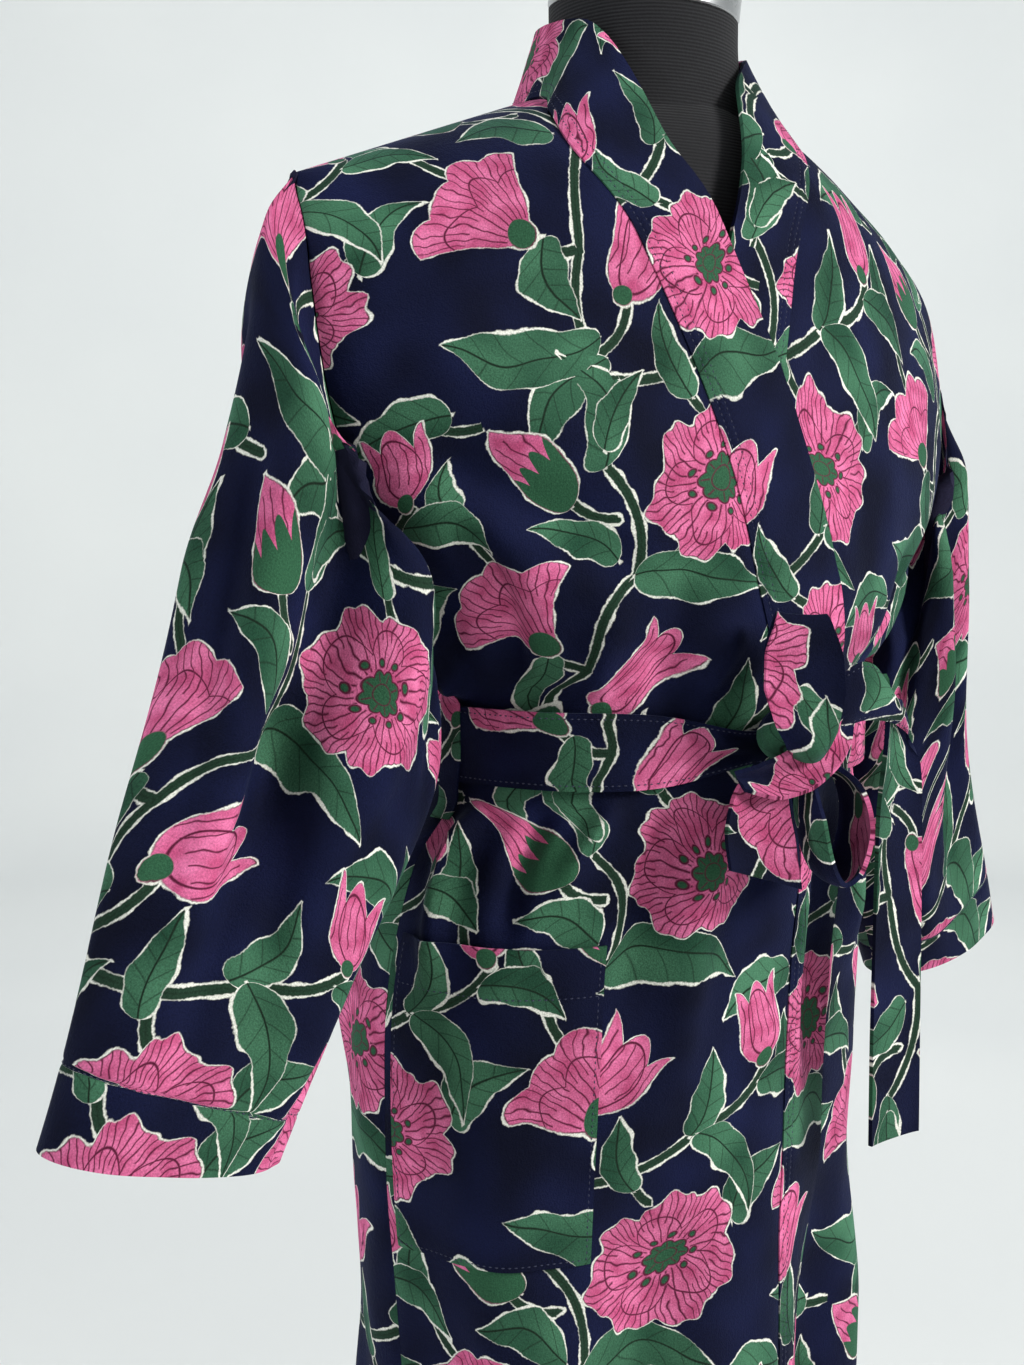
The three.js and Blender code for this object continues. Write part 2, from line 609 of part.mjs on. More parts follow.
function sleevePoint(side, turn, at) {
  const row = (name) => column(SLEEVE, 'at', name, at);
  const share = (1 + Math.cos(turn)) / 2;
  const depth = Math.sin(turn) > 0 ? row('front') : row('back');
  const hollow = row('fold') * Math.exp(-(((turn - HOLLOW_TURN) / HOLLOW_WIDTH) ** 2));
  const lean = side > 0 ? LEFT_LEAN * smoothstep(0, 1, at) : 0;
  const tuck = side < 0 ? RIGHT_TUCK * smoothstep(0.1, 0.3, at) * (1 - smoothstep(0.35, 0.75, at)) : 0;
  const x = row('inX') - tuck + (row('outX') - row('inX') + tuck) * share - lean;
  const z = row('inZ') + (row('outZ') - row('inZ')) * share;
  return vec(side * x, row('y') - depth * Math.sin(turn) + hollow, z);
}

function sleeve(side) {
  const loop = armholeLoop(side);
  const rows = [];
  for (let j = 0; j <= SLEEVE_ROWS; j += 1) {
    const at = j / SLEEVE_ROWS;
    const keep = 1 - smoothstep(0, SLEEVE_TOP_BEND, at);
    rows.push(loop.map((edge, i) => {
      const turn = Math.PI * i / ARM_ROWS;
      const settle = edge.point.clone().sub(sleevePoint(side, turn, 0)).multiplyScalar(keep);
      return sleevePoint(side, turn, at).add(settle);
    }));
  }
  // How far the sleeve turns out of the panel's plane at each point of the armhole
  const turns = rows[0].map((p, i) => rows[1][i].clone().sub(p).normalize().dot(loop[i].normal));
  rows[0] = rows[0].map((p, i) => {
    const gap = SEAM_GAP + FOLD_GAP * smoothstep(0, FOLDED_BACK, turns[i]);
    return p.clone().add(rows[1][i].clone().sub(p).setLength(gap));
  });
  if (side > 0) [...rows, turns].forEach((row) => row.reverse());
  const normals = gridNormals(rows, true);
  const edges = loop.map((edge) => edge.normal);
  if (side > 0) edges.reverse();
  // Where the sleeve turns down from the panel both share the panel's normal
  normals[0] = normals[0].map((normal, i) => {
    return edges[i].clone().lerp(normal, smoothstep(...LEAVES_PANEL, turns[i])).normalize();
  });
  return wall(rows, normals, WALL, true);
}

// Pocket: a patch of panel points moved out

function pocket() {
  const rows = POCKET_LEVELS.map((level, j) => {
    const inner = angleAt(POCKET_INNER, level);
    return Array.from({ length: POCKET_COLUMNS + 1 }, (_, i) => {
      const share = i / POCKET_COLUMNS;
      const dip = j === 0 ? POCKET_SAG * share * (POCKET_SKEW - share) : 0;
      const angle = inner + (POCKET_OUTER - inner) * (1 - share);
      return panelPoint(angle, level - POCKET_SAG + dip, -1, POCKET_OFF + WALL);
    });
  });
  return wall(pointsOf(rows), normalsOf(rows), WALL);
}

// Belt round the waist, over both fronts and the bands

// A point moved level out of the garment's surface
function levelOut(angle, level, out) {
  const normal = bodyNormal(angle, level).setZ(0).normalize();
  return { point: bodyPoint(angle, level).addScaledVector(normal, out), normal };
}

function beltWaist() {
  const rows = [-BELT_WIDTH / 2, 0, BELT_WIDTH / 2].map((rise) => {
    return Array.from({ length: BELT_STEPS }, (_, i) => {
      return levelOut(2 * Math.PI * i / BELT_STEPS, WAIST_Z + rise, BELT_OFF + BELT_WALL);
    });
  });
  return wall(pointsOf(rows), normalsOf(rows), BELT_WALL, true);
}

// A belt carrier at a side seam: flat on the panels at both ends, bridging the belt
function carrier(side) {
  const rows = CARRIER.map(({ z, off }) => {
    return [-1, 0, 1].map((step) => {
      const angle = side * Math.PI / 2 + step * CARRIER_WIDTH / 2 / column(BODY, 'z', 'front', z);
      return levelOut(angle, z, off + CARRIER_WALL);
    });
  });
  return wall(pointsOf(rows), normalsOf(rows), CARRIER_WALL);
}

// Ribbons of belt: a centre line with the direction of its width at each row.
// yaw turns the width in plan from +X towards -Y, and dip lifts its far end.

function ribbonGrid(rows, steps) {
  const centre = new THREE.CatmullRomCurve3(rows.map(({ x, y, z }) => vec(x, y, z)));
  const last = rows.length - 1;
  return Array.from({ length: steps + 1 }, (_, j) => {
    const at = last * j / steps;
    const i = Math.min(last - 1, Math.floor(at));
    const share = at - i;
    const value = (name) => rows[i][name] + (rows[i + 1][name] - rows[i][name]) * share;
    const yaw = THREE.MathUtils.degToRad(value('yaw'));
    const dip = THREE.MathUtils.degToRad(value('dip'));
    const across = vec(Math.cos(yaw) * Math.cos(dip), -Math.sin(yaw) * Math.cos(dip), Math.sin(dip));
    const middle = centre.getPoint(j / steps);
    const width = BELT_WIDTH * value('wide');
    return Array.from({ length: RIBBON_COLUMNS + 1 }, (_, k) => {
      return middle.clone().addScaledVector(across, width * (k / RIBBON_COLUMNS - 0.5));
    });
  });
}

function ribbon(rows, steps) {
  const grid = ribbonGrid(rows, steps);
  return wall(grid, gridNormals(grid), BELT_WALL);
}

// The knot: a crumpled round lump, wider than it is high
function knot() {
  const rings = Array.from({ length: KNOT_RINGS }, (_, j) => {
    const lift = Math.PI * (j + KNOT_FIRST) / KNOT_LAST - Math.PI / 2;
    return Array.from({ length: KNOT_SIDES }, (_, i) => {
      const turn = 2 * Math.PI * i / KNOT_SIDES;
      const swell = 1 + KNOT_CREASE * Math.cos(3 * turn + 2 * lift);
      return vec(
        KNOT.x + KNOT.wide * swell * Math.cos(lift) * Math.cos(turn),
        KNOT.y + KNOT.deep * swell * Math.cos(lift) * Math.sin(turn),
        KNOT.z + KNOT.high * Math.sin(lift),
      );
    });
  });
  return loft(rings);
}

// Cuts a ribbon clear of the knot, and keeps its largest piece
function clearOfKnot(geometry, knotGeometry) {
  const grown = knotGeometry.clone();
  grown.translate(-KNOT.x, -KNOT.y, -KNOT.z);
  grown.scale(1 + SEAM_GAP / KNOT.wide, 1 + SEAM_GAP / KNOT.deep, 1 + SEAM_GAP / KNOT.high);
  grown.translate(KNOT.x, KNOT.y, KNOT.z);
  const pieces = toManifold(geometry).subtract(toManifold(grown)).decompose();
  return fromManifold(pieces.reduce((a, b) => (a.volume() > b.volume() ? a : b)));
}

// Dress form

function formPoint(angle, level) {
  const row = (name) => column(FORM, 'z', name, level);
  const drop = Math.min(1, (FORM_TOP_Z - level) / ARCH);
  const arch = Math.sqrt(Math.max(0, 1 - (1 - drop) ** 2));
  const x = row('half') * Math.sin(angle);
  const depth = (Math.cos(angle) > 0 ? row('front') : row('back')) * arch;
  const share = smoothstep(UNDERARM_Z, FORM_TOP_Z, level);
  const end = Math.abs(x) / row('half');
  const lift = FORM_LIFT * (1 - fromMiddle(x, FORM_TOP_HALF)) - FORM_END_DROP * end ** FORM_END_POWER;
  return vec(x, row('mid') - depth * Math.cos(angle), level + share * lift);
}

function form() {
  const height = FORM_TOP_Z - FORM_TOP_FLAT - FORM_FOOT_Z;
  const body = Array.from({ length: FORM_RINGS + 1 }, (_, j) => {
    const level = FORM_FOOT_Z + height * Math.sin(Math.PI / 2 * j / FORM_RINGS);
    return Array.from({ length: FORM_SIDES }, (_, i) => formPoint(2 * Math.PI * i / FORM_SIDES, level));
  });
  const taper = vec(FORM_FOOT_TAPER, FORM_FOOT_TAPER, 1);
  const foot = body[0].map((p) => p.clone().multiply(taper).setZ(FORM_FOOT_Z - FORM_FOOT_DROP));
  const neck = NECK.map(({ z, wide, deep }) => {
    const lean = smoothstep(NECK[3].z, NECK[6].z, z) * Math.tan(NECK_TILT);
    return Array.from({ length: FORM_SIDES }, (_, i) => {
      const turn = 2 * Math.PI * i / FORM_SIDES;
      return vec(wide * Math.cos(turn), deep * Math.sin(turn), z + lean * deep * Math.sin(turn));
    });
  });
  return fromManifold(toManifold(loft([foot, ...body])).add(toManifold(loft(neck))));
}

function turned(profile, sides) {
  const points = profile.map(({ radius, height }) => new THREE.Vector2(radius, height));
  return closed(new THREE.LatheGeometry(points, sides).rotateX(Math.PI / 2));
}

const CLOTH = { color: 0x1a1e42, roughness: 0.9, metalness: 0 };
const KNIT = { color: 0x141414, roughness: 0.95, metalness: 0 };
const METAL = { color: 0xc8c8c8, roughness: 0.3, metalness: 1 };

const group = new THREE.Group();
const knotSolid = knot();
const capSolid = turned(CAP_PROFILE, 36).rotateX(NECK_TILT).translate(0, 0, NECK[6].z + SEAM_GAP);

function place(name, geometry, look) {
  geometry.computeVertexNormals();
  const mesh = new THREE.Mesh(geometry, new THREE.MeshStandardMaterial(look));
  mesh.name = name;
  group.add(mesh);
}

place('back_panel', back(), CLOTH);
place('front_right', front(-1), CLOTH);
place('front_left', front(1), CLOTH);
place('band_right', band(-1), CLOTH);
place('band_left', band(1), CLOTH);
place('sleeve_right', sleeve(-1), CLOTH);
place('sleeve_left', sleeve(1), CLOTH);
place('pocket_right', pocket(), CLOTH);
place('belt_loop_right', carrier(-1), CLOTH);
place('belt_loop_left', carrier(1), CLOTH);
place('belt_waist', beltWaist(), CLOTH);
place('belt_knot', knotSolid, CLOTH);
place('belt_lobe', clearOfKnot(ribbon(LOBE, 18), knotSolid), CLOTH);
place('belt_bow_loop', clearOfKnot(ribbon(BOW_LOOP, 20), knotSolid), CLOTH);
place('belt_tail_long', clearOfKnot(ribbon(TAIL_LONG, 20), knotSolid), CLOTH);
place('belt_tail_short', clearOfKnot(ribbon(TAIL_SHORT, 8), knotSolid), CLOTH);
place('belt_wrap', clearOfKnot(ribbon(WRAP, 12), knotSolid), CLOTH);
place('form_torso', form(), KNIT);
place('neck_cap', capSolid, METAL);
place('stand_pole', turned(POLE_PROFILE, 24), METAL);
place('stand_base', turned(BASE_PROFILE, 48), METAL);

export default group;
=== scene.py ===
# Kimono robe with a tied belt on a limbless dress form: the finished surfaces.
# Shapes are worked out in millimetres and become metres when a mesh is made.
# +Z is up, the front faces -Y and the wearer's left is +X.

import math

import bpy
import numpy as np
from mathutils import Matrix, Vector

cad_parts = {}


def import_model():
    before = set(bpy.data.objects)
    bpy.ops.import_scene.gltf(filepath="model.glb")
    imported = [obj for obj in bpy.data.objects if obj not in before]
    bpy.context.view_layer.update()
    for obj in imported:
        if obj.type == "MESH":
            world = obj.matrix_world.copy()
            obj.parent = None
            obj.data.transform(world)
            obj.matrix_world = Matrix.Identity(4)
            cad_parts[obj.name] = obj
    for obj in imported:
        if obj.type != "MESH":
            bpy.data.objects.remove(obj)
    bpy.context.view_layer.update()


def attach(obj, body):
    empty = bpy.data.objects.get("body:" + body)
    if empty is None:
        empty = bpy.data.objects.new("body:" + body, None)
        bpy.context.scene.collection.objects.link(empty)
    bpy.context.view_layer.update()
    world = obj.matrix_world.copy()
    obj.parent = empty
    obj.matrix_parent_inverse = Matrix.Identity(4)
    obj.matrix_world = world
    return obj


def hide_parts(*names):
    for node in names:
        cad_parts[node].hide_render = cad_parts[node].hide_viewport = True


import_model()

MM = 0.001

# Driving dimensions, the same as the model's
WALL = 1.8
BAND_WALL = 3.0
BELT_WALL = 2.6
SEAM_GAP = 0.2
HEM_Z = 230
WAIST_Z = 1050
UNDERARM_Z = 1135
SHOULDER_Z = 1362
SHOULDER_HALF = 256
ARCH = 75
NECK_HALF = 92
NECK_DROP = 18
BAND_WIDTH = 56
BAND_PROUD = 0.9
LAP_DEPTH = 3.8
LAP_REACH = 100
LAP_EASE = 48
BELT_WIDTH = 43
BELT_OFF = 2.4
LEFT_LEAN = 42
RIGHT_TUCK = 22
SLEEVE_TOP_BEND = 0.3
TUCK_FROM = (0.1, 0.3)
TUCK_TO = (0.35, 0.75)
HOLLOW_TURN = 1.25
HOLLOW_WIDTH = 0.3
MIDDLE_ROUND = 20
GIRTH_RADIUS = 165
STAND_START_Z = 1296
STAND_FALL = 10
STAND_RADIUS = 69
STAND_Z = 1482
STAND_RISE = 8
POCKET_OFF = 0.8
POCKET_INNER = -112
POCKET_OUTER = math.radians(-87)
POCKET_SAG = 4
POCKET_LOW = 767
POCKET_TOP = 948
POCKET_WIDE = 150


def table(names, *rows):
    """A short table as one array for each named column."""
    columns = np.array(rows, float).T
    return dict(zip(names.split(), columns))


BODY = table(
    "z rise half front back mid arm square flute",
    (230, 0, 168, 116, 116, 20, 90, 0.97, 9),
    (480, 0, 167, 115, 116, 22, 90, 0.97, 8),
    (650, 0, 170, 118, 119, 24, 90, 0.97, 6),
    (800, 0, 181, 126, 126, 27, 90, 0.97, 4),
    (900, 0, 184, 130, 126, 24, 90, 0.97, 3),
    (980, 0, 173, 129, 118, 12, 90, 0.97, 3),
    (1022, 0, 150, 125, 112, 4, 90, 0.98, 1),
    (1080, 0, 150, 126, 114, 2, 90, 0.98, 1),
    (1106, 0, 168, 135, 124, 0, 90, 0.98, 2),
    (1135, 0, 190, 139, 130, 0, 90, 0.98, 2),
    (1180, 10, 236, 138, 131, 0, 80, 0.99, 1),
    (1240, 40, 264, 131, 126, 2, 76, 1, 0),
    (1300, 72, 267, 120, 118, 4, 78, 1, 0),
    (1340, 91, 261, 110, 110, 4, 82, 1, 0),
    (1362, 99, 256, 100, 104, 3, 90, 1, 0),
)
SEAMS = table(
    "z right left",
    (230, 14, -40),
    (960, 14, -40),
    (1050, -10, -40),
    (1133, -42, -38),
    (1182, -58, -30),
    (1214, -72, -20),
    (1251, -91, -3),
    (1294, -112, 20),
    (1331, -127, 50),
    (1353, -116, 74),
    (1362, -92, 92),
)
SLEEVE = table(
    "at outX outZ inX inZ y front back fold",
    (0.0, 256, 1362, 190, 1135, 0, 42, 42, 0),
    (0.07, 275, 1337, 197, 1116, -2, 48, 44, 1),
    (0.2, 285, 1284, 201, 1082, -6, 54, 44, 6),
    (0.4, 307, 1205, 204, 1030, -10, 54, 42, 12),
    (0.6, 332, 1107, 218, 973, -12, 48, 40, 12),
    (0.8, 364, 998, 245, 911, -10, 42, 38, 7),
    (1.0, 401, 880, 276, 850, -6, 40, 38, 2),
)
FORM = table(
    "z half front back mid",
    (820, 146, 100, 104, 14),
    (880, 156, 106, 110, 14),
    (960, 142, 98, 100, 8),
    (1050, 114, 88, 84, 0),
    (1120, 134, 102, 92, 0),
    (1190, 154, 116, 100, 0),
    (1270, 168, 106, 104, 2),
    (1340, 178, 94, 96, 3),
    (1386, 182, 82, 86, 3),
)
NECK = table(
    "z wide deep",
    (1395, 96, 74),
    (1412, 82, 67),
    (1426, 73, 63),
    (1440, 67, 61),
    (1456, 63, 60),
    (1476, 60, 60),
    (1498, 60, 60),
)
FORM_LIFT = 69
FORM_END_DROP = 14
FORM_TOP_Z = 1386
FORM_FOOT_Z = 820
FORM_FOOT_ROUND = 12
FORM_TOP_GAP = 0.4
FORM_RINGS = 48
FORM_COLUMNS = 96
NECK_TILT = math.radians(8.6)
SIDES = {-1: "right", 1: "left"}
# Where each piece starts in the print, in cloth millimetres
START = {
    "front_left": 400,
    "back": 900,
    "band_right": 130,
    "band_left": 560,
    "sleeve_right": -55,
    "sleeve_left": 260,
    "pocket": 60,
    "belt": 300,
    "knot": 480,
    "carrier": 700,
}


# Reading tables and small vector helpers


def read(rows, name, at):
    """A column of a table at places of its first column, smoothly."""
    keys, values = next(iter(rows.values())), rows[name]
    slopes = np.empty_like(values)
    slopes[1:-1] = (values[2:] - values[:-2]) / (keys[2:] - keys[:-2])
    slopes[0] = (values[1] - values[0]) / (keys[1] - keys[0])
    slopes[-1] = (values[-1] - values[-2]) / (keys[-1] - keys[-2])
    at = np.clip(at, keys[0], keys[-1])
    i = np.clip(np.searchsorted(keys, at, side="right") - 1, 0, len(keys) - 2)
    span = keys[i + 1] - keys[i]
    t = (at - keys[i]) / span
    start, end = slopes[i] * span, slopes[i + 1] * span
    lift = (2 * t**3 - 3 * t**2 + 1) * values[i] + (t**3 - 2 * t**2 + t) * start
    return lift + (3 * t**2 - 2 * t**3) * values[i + 1] + (t**3 - t**2) * end


def smoothstep(low, high, value):
    t = np.clip((value - low) / (high - low), 0, 1)
    return t * t * (3 - 2 * t)


def power(value, exponent):
    return np.sign(value) * np.abs(value) ** exponent


def unit(vectors):
    return vectors / np.maximum(np.linalg.norm(vectors, axis=-1, keepdims=True), 1e-12)


def blend(a, b, share):
    return a + (b - a) * share


def hump(distance, width):
    return np.exp(-((distance / width) ** 2))


def joined(x, y, z):
    """Points from their three coordinates."""
    return np.stack(np.broadcast_arrays(x, y, z), -1)


def full_turn(count):
    """One row of even angles all round."""
    return np.linspace(0, 2 * np.pi, count, endpoint=False)[None, :]


def row_length(points):
    return np.linalg.norm(np.diff(points, axis=1), axis=2).sum(1)


# The garment's own surface: angle 0 is the front middle, +90 degrees the wearer's left

CREASES = table(
    "angle1 z1 angle2 z2 bow width depth",
    (-86, 1072, -88, 1142, 0, 9, 7),
    (-72, 1082, -60, 1190, 6, 13, -5),
    (-52, 1075, -34, 1150, -4, 10, 3),
    (-40, 1078, -22, 1180, 8, 12, -3.5),
    (-26, 1080, -16, 1130, 0, 8, 2.5),
    (40, 1075, 34, 1180, 5, 12, -4),
    (62, 1080, 58, 1170, -5, 12, 4),
    (82, 1075, 76, 1150, 0, 10, -4),
    (-60, 1275, -20, 1190, 10, 24, 3),
    (-66, 1210, -30, 1120, -12, 18, -3.5),
    (64, 1210, 48, 1110, 8, 16, -4),
    (-80, 1025, -74, 900, 3, 12, 5),
    (-62, 1024, -58, 930, 0, 10, -4),
    (-44, 1026, -50, 960, 4, 9, 3.5),
    (-30, 1028, -34, 900, -4, 12, -4),
    (-18, 1028, -20, 820, 5, 14, 4),
    (-8, 1026, -6, 940, 0, 9, -3),
    (12, 1028, 14, 800, -4, 12, -4),
    (30, 1027, 34, 880, 3, 12, 4),
    (56, 1025, 52, 820, -6, 14, -5),
    (78, 1026, 82, 900, 4, 12, 4.5),
    (-70, 760, -66, 240, 6, 26, -5),
    (-48, 740, -42, 250, -8, 30, 5),
    (-24, 860, -28, 300, 6, 26, -4),
    (-4, 700, -2, 240, 4, 24, 3),
    (26, 800, 24, 240, -6, 26, -5),
    (50, 780, 56, 260, 8, 28, 5),
    (104, 1028, 100, 860, 4, 12, -4),
    (122, 1026, 128, 780, -5, 14, 4),
    (142, 1028, 138, 900, 3, 11, -4),
    (160, 1027, 158, 800, -4, 14, 4),
    (180, 1028, 184, 880, 4, 12, -4),
    (202, 1026, 200, 760, -6, 15, 4.5),
    (224, 1028, 230, 860, 4, 12, -4),
    (246, 1026, 242, 820, -4, 13, 4),
    (110, 760, 114, 250, 8, 30, 5),
    (140, 800, 136, 240, -8, 26, -5),
    (172, 720, 168, 250, 6, 30, 4),
    (206, 780, 210, 240, -6, 28, -5),
    (240, 740, 236, 260, 8, 26, 5),
    (120, 1075, 128, 1190, -6, 13, -4),
    (146, 1078, 150, 1150, 4, 10, 3.5),
    (168, 1074, 164, 1220, 6, 14, -4),
    (196, 1078, 200, 1160, -5, 11, 4),
    (222, 1075, 214, 1200, 6, 13, -4.5),
    (244, 1080, 252, 1160, -4, 12, 4),
    (130, 1290, 156, 1200, 10, 22, 3),
    (232, 1280, 200, 1190, -10, 24, 3.5),
)
FLUTES = ((7, 0.6, 2 / 3), (11, -1, 1 / 3))
CREASE_GIRTH = 168
CREASE_GAIN = 2.5
BELT_HOLD = 16


def crease_sum(creases, across, up, girth):
    """Soft troughs and ridges, each fading at both ends."""
    total = np.zeros(np.broadcast(across, up).shape)
    keys = ("angle1", "z1", "angle2", "z2", "bow", "width", "depth")
    for a1, z1, a2, z2, bow, width, depth in zip(*(creases[key] for key in keys)):
        run = np.array([math.radians(a2 - a1) * girth, z2 - z1])
        length = np.hypot(*run)
        run = run / length
        here = (across - math.radians(a1) + math.pi) % (2 * math.pi) - math.pi
        x, y = here * girth, up - z1
        t = (x * run[0] + y * run[1]) / length
        away = x * run[1] - y * run[0] - bow * 4 * t * (1 - t)
        fade = smoothstep(0, 0.22, t) * (1 - smoothstep(0.55, 1, t))
        total += depth * fade * hump(away, width)
    return total


def relief(angle, level):
    """Folds of the cloth along its own normal, calm under the belt."""
    folds = crease_sum(CREASES, angle, level, CREASE_GIRTH)
    slow = 0.9 * np.sin(9 * angle + level / 47) * np.sin(level / 61 + 2 * np.cos(angle))
    ripple = 0.5 * np.sin(23 * angle - level / 33) * np.sin(level / 29 + 3 * np.sin(2 * angle))
    held = 1 - np.exp(-(((level - WAIST_Z) / BELT_HOLD) ** 4))
    top = 1 - smoothstep(1300, SHOULDER_Z, level)
    return (CREASE_GAIN * folds + slow + ripple) * held * top


def middle_share(x, half):
    """1 at the middle, falling to 0 at half, with a rounded top."""
    return 1 - (np.hypot(x, MIDDLE_ROUND) - MIDDLE_ROUND) / (half - MIDDLE_ROUND)


def body_point(angle, level):
    angle, level = np.broadcast_arrays(np.asarray(angle, float), np.asarray(level, float))
    drop = np.minimum(1, (SHOULDER_Z - level) / ARCH)
    arch = np.sqrt(np.maximum(0, 1 - (1 - drop) ** 2))
    square = read(BODY, "square", level)
    wave = sum(share * np.cos(waves * angle + phase) for waves, phase, share in FLUTES)
    flute = read(BODY, "flute", level) * wave
    x = (read(BODY, "half", level) + flute) * power(np.sin(angle), square)
    side = np.where(np.cos(angle) > 0, read(BODY, "front", level), read(BODY, "back", level))
    y = read(BODY, "mid", level) - (side + flute) * arch * power(np.cos(angle), square)
    rise = read(BODY, "rise", level) * middle_share(x, SHOULDER_HALF)
    return joined(x, y, level + rise)


def body_normal(angle, level):
    angle, level = np.broadcast_arrays(np.asarray(angle, float), np.asarray(level, float))
    top = np.minimum(level + 1, SHOULDER_Z - 0.01)
    low = np.minimum(level, top)
    along = body_point(angle + 0.02, low) - body_point(angle - 0.02, low)
    up = body_point(angle, top) - body_point(angle, top - 2)
    normal = unit(np.cross(along, up))
    flat = level > SHOULDER_Z - 0.5
    normal[..., 1] = np.where(flat, 0, normal[..., 1])
    return unit(normal)


def angle_at(x, level):
    sine = np.abs(x) / read(BODY, "half", level)
    return np.sign(x) * np.arcsin(np.minimum(1, sine ** (1 / read(BODY, "square", level))))


def arm_angle(level):
    return np.radians(np.minimum(90, read(BODY, "arm", level)))


def panel_point(angle, level, side, out=0.0):
    """A point of a panel moved out along the body's normal, folds included."""
    normal = body_normal(angle, level)
    lift = np.asarray(relief(angle, level) + out)
    point = body_point(angle, level) + normal * lift[..., None]
    point[..., 1] += side * SEAM_GAP / 2
    return point


def lap_under(x, level):
    edge = read(SEAMS, "right", level) + LAP_REACH
    return LAP_DEPTH * (1 - smoothstep(edge, edge + LAP_EASE, x))


# Rows of levels shared by the panels, closer near the seams

ARM_ROWS = 64
LEVELS = np.concatenate([
    np.arange(HEM_Z, 900, 5.0),
    np.arange(900, UNDERARM_Z - 2, 4.5),
    UNDERARM_Z + (SHOULDER_Z - UNDERARM_Z) * (1 - np.cos(np.pi * np.arange(ARM_ROWS + 1) / ARM_ROWS)) / 2,
])
ARM_LEVELS = LEVELS[-ARM_ROWS - 1:]


def shares(count, near=0.004):
    """Even steps from 0 to 1 with a few closer ones at both ends."""
    inner = np.linspace(4 * near, 1 - 4 * near, count - 5)
    return np.concatenate([[0, near, 2.2 * near], inner, [1 - 2.2 * near, 1 - near, 1]])


STITCH_SINK = 0.55
STITCH_FURROW = 1.3
SEAM_ROLL = 0.9
SEAM_SOFT = 3.6


def rolled(distance):
    """How far a sewn edge dips into its seam."""
    return -SEAM_ROLL * hump(distance, SEAM_SOFT)


def sunk(distance):
    """The furrow that a line of stitches pulls into the pile."""
    return -STITCH_SINK * hump(distance, STITCH_FURROW)


# The printed repeat, in cloth millimetres: flowers, leaves and stems in a half-drop

TILE_U = 240
TILE_V = 232
BLOOM, FAN, TULIP, BUD = 1, 2, 3, 4
FLOWER_REACH = {BLOOM: (55, 52), FAN: (54, 48), TULIP: (32, 42), BUD: (38, 25)}
FLOWERS = table(
    "kind u v turn size",
    (BLOOM, 170, 180, 20, 1.0),
    (FAN, 48, 102, 35, 0.95),
    (TULIP, 132, 62, -35, 1.0),
    (TULIP, 228, 80, 15, 0.8),
    (BUD, 58, 192, 140, 1.0),
)
LEAVES = table(
    "u v turn length half bend",
    (118, 122, -6, 96, 19, 12),
    (110, 136, 164, 62, 14, -8),
    (96, 198, 60, 52, 12, 7),
    (98, 190, 112, 72, 15, -10),
    (97, 26, 178, 98, 20, 12),
    (99, 12, 226, 70, 15, -9),
    (188, 22, -54, 74, 16, 10),
    (182, 20, 74, 58, 13, -7),
    (232, 46, -24, 56, 13, 8),
    (72, 78, -76, 52, 13, -7),
    (214, 198, 40, 60, 14, 9),
    (150, 222, 104, 54, 12, 6),
    (14, 222, 198, 64, 15, -8),
    (24, 158, 108, 46, 11, 6),
)
STEMS = table(
    "u1 v1 u2 v2 bow",
    (100, 0, 92, 68, 9),
    (92, 68, 120, 126, 7),
    (120, 126, 97, 190, -9),
    (97, 190, 100, 232, 5),
    (92, 68, 66, 78, 4),
    (120, 126, 156, 166, -7),
    (98, 16, 118, 42, -5),
    (100, 2, 190, 24, -10),
    (190, 24, 236, 56, -7),
    (106, 162, 78, 174, 4),
    (205, 200, 232, 214, 4),
    (28, 216, -6, 226, 5),
    (160, 215, 148, 236, 3),
    (48, 118, 26, 158, 5),
)
LEAF_SIZE = 0.9
STEM_STEPS = 10
STEM_NEAR = 9.0
OUTSIDE = 60.0


def in_repeat(uv, u, v):
    """Offsets from the nearest copy of a spot of the repeat, the same copy for a whole face."""
    centre = uv.mean(1)
    column = np.round((centre[:, 0] - u) / TILE_U)
    lift = (column % 2) * TILE_V / 2
    row = np.round((centre[:, 1] - v - lift) / TILE_V)
    spot = np.stack([u + column * TILE_U, v + lift + row * TILE_V], 1)
    return uv - spot[:, None]


def turned_back(offset, degrees):
    c, s = math.cos(math.radians(degrees)), math.sin(math.radians(degrees))
    return np.stack([c * offset[..., 0] + s * offset[..., 1], c * offset[..., 1] - s * offset[..., 0]], -1)


def flower_field(uv):
    """The nearest flower's own coordinates and its kind."""
    best = np.ones(len(uv))
    field = np.zeros((len(uv), 4, 3))
    for kind, u, v, turn, size in zip(*FLOWERS.values()):
        own = turned_back(in_repeat(uv, u, v), turn) / size
        middle = np.abs(own.mean(1))
        score = (middle / FLOWER_REACH[int(kind)]).max(1)
        closer = score < best
        best[closer] = score[closer]
        field[closer, :, :2] = own[closer]
        field[closer, :, 2] = kind
    return field


def leaf_width(x):
    x = np.clip(x, 0, 1)
    return 2.6 * np.sqrt(x) * (1 - x)


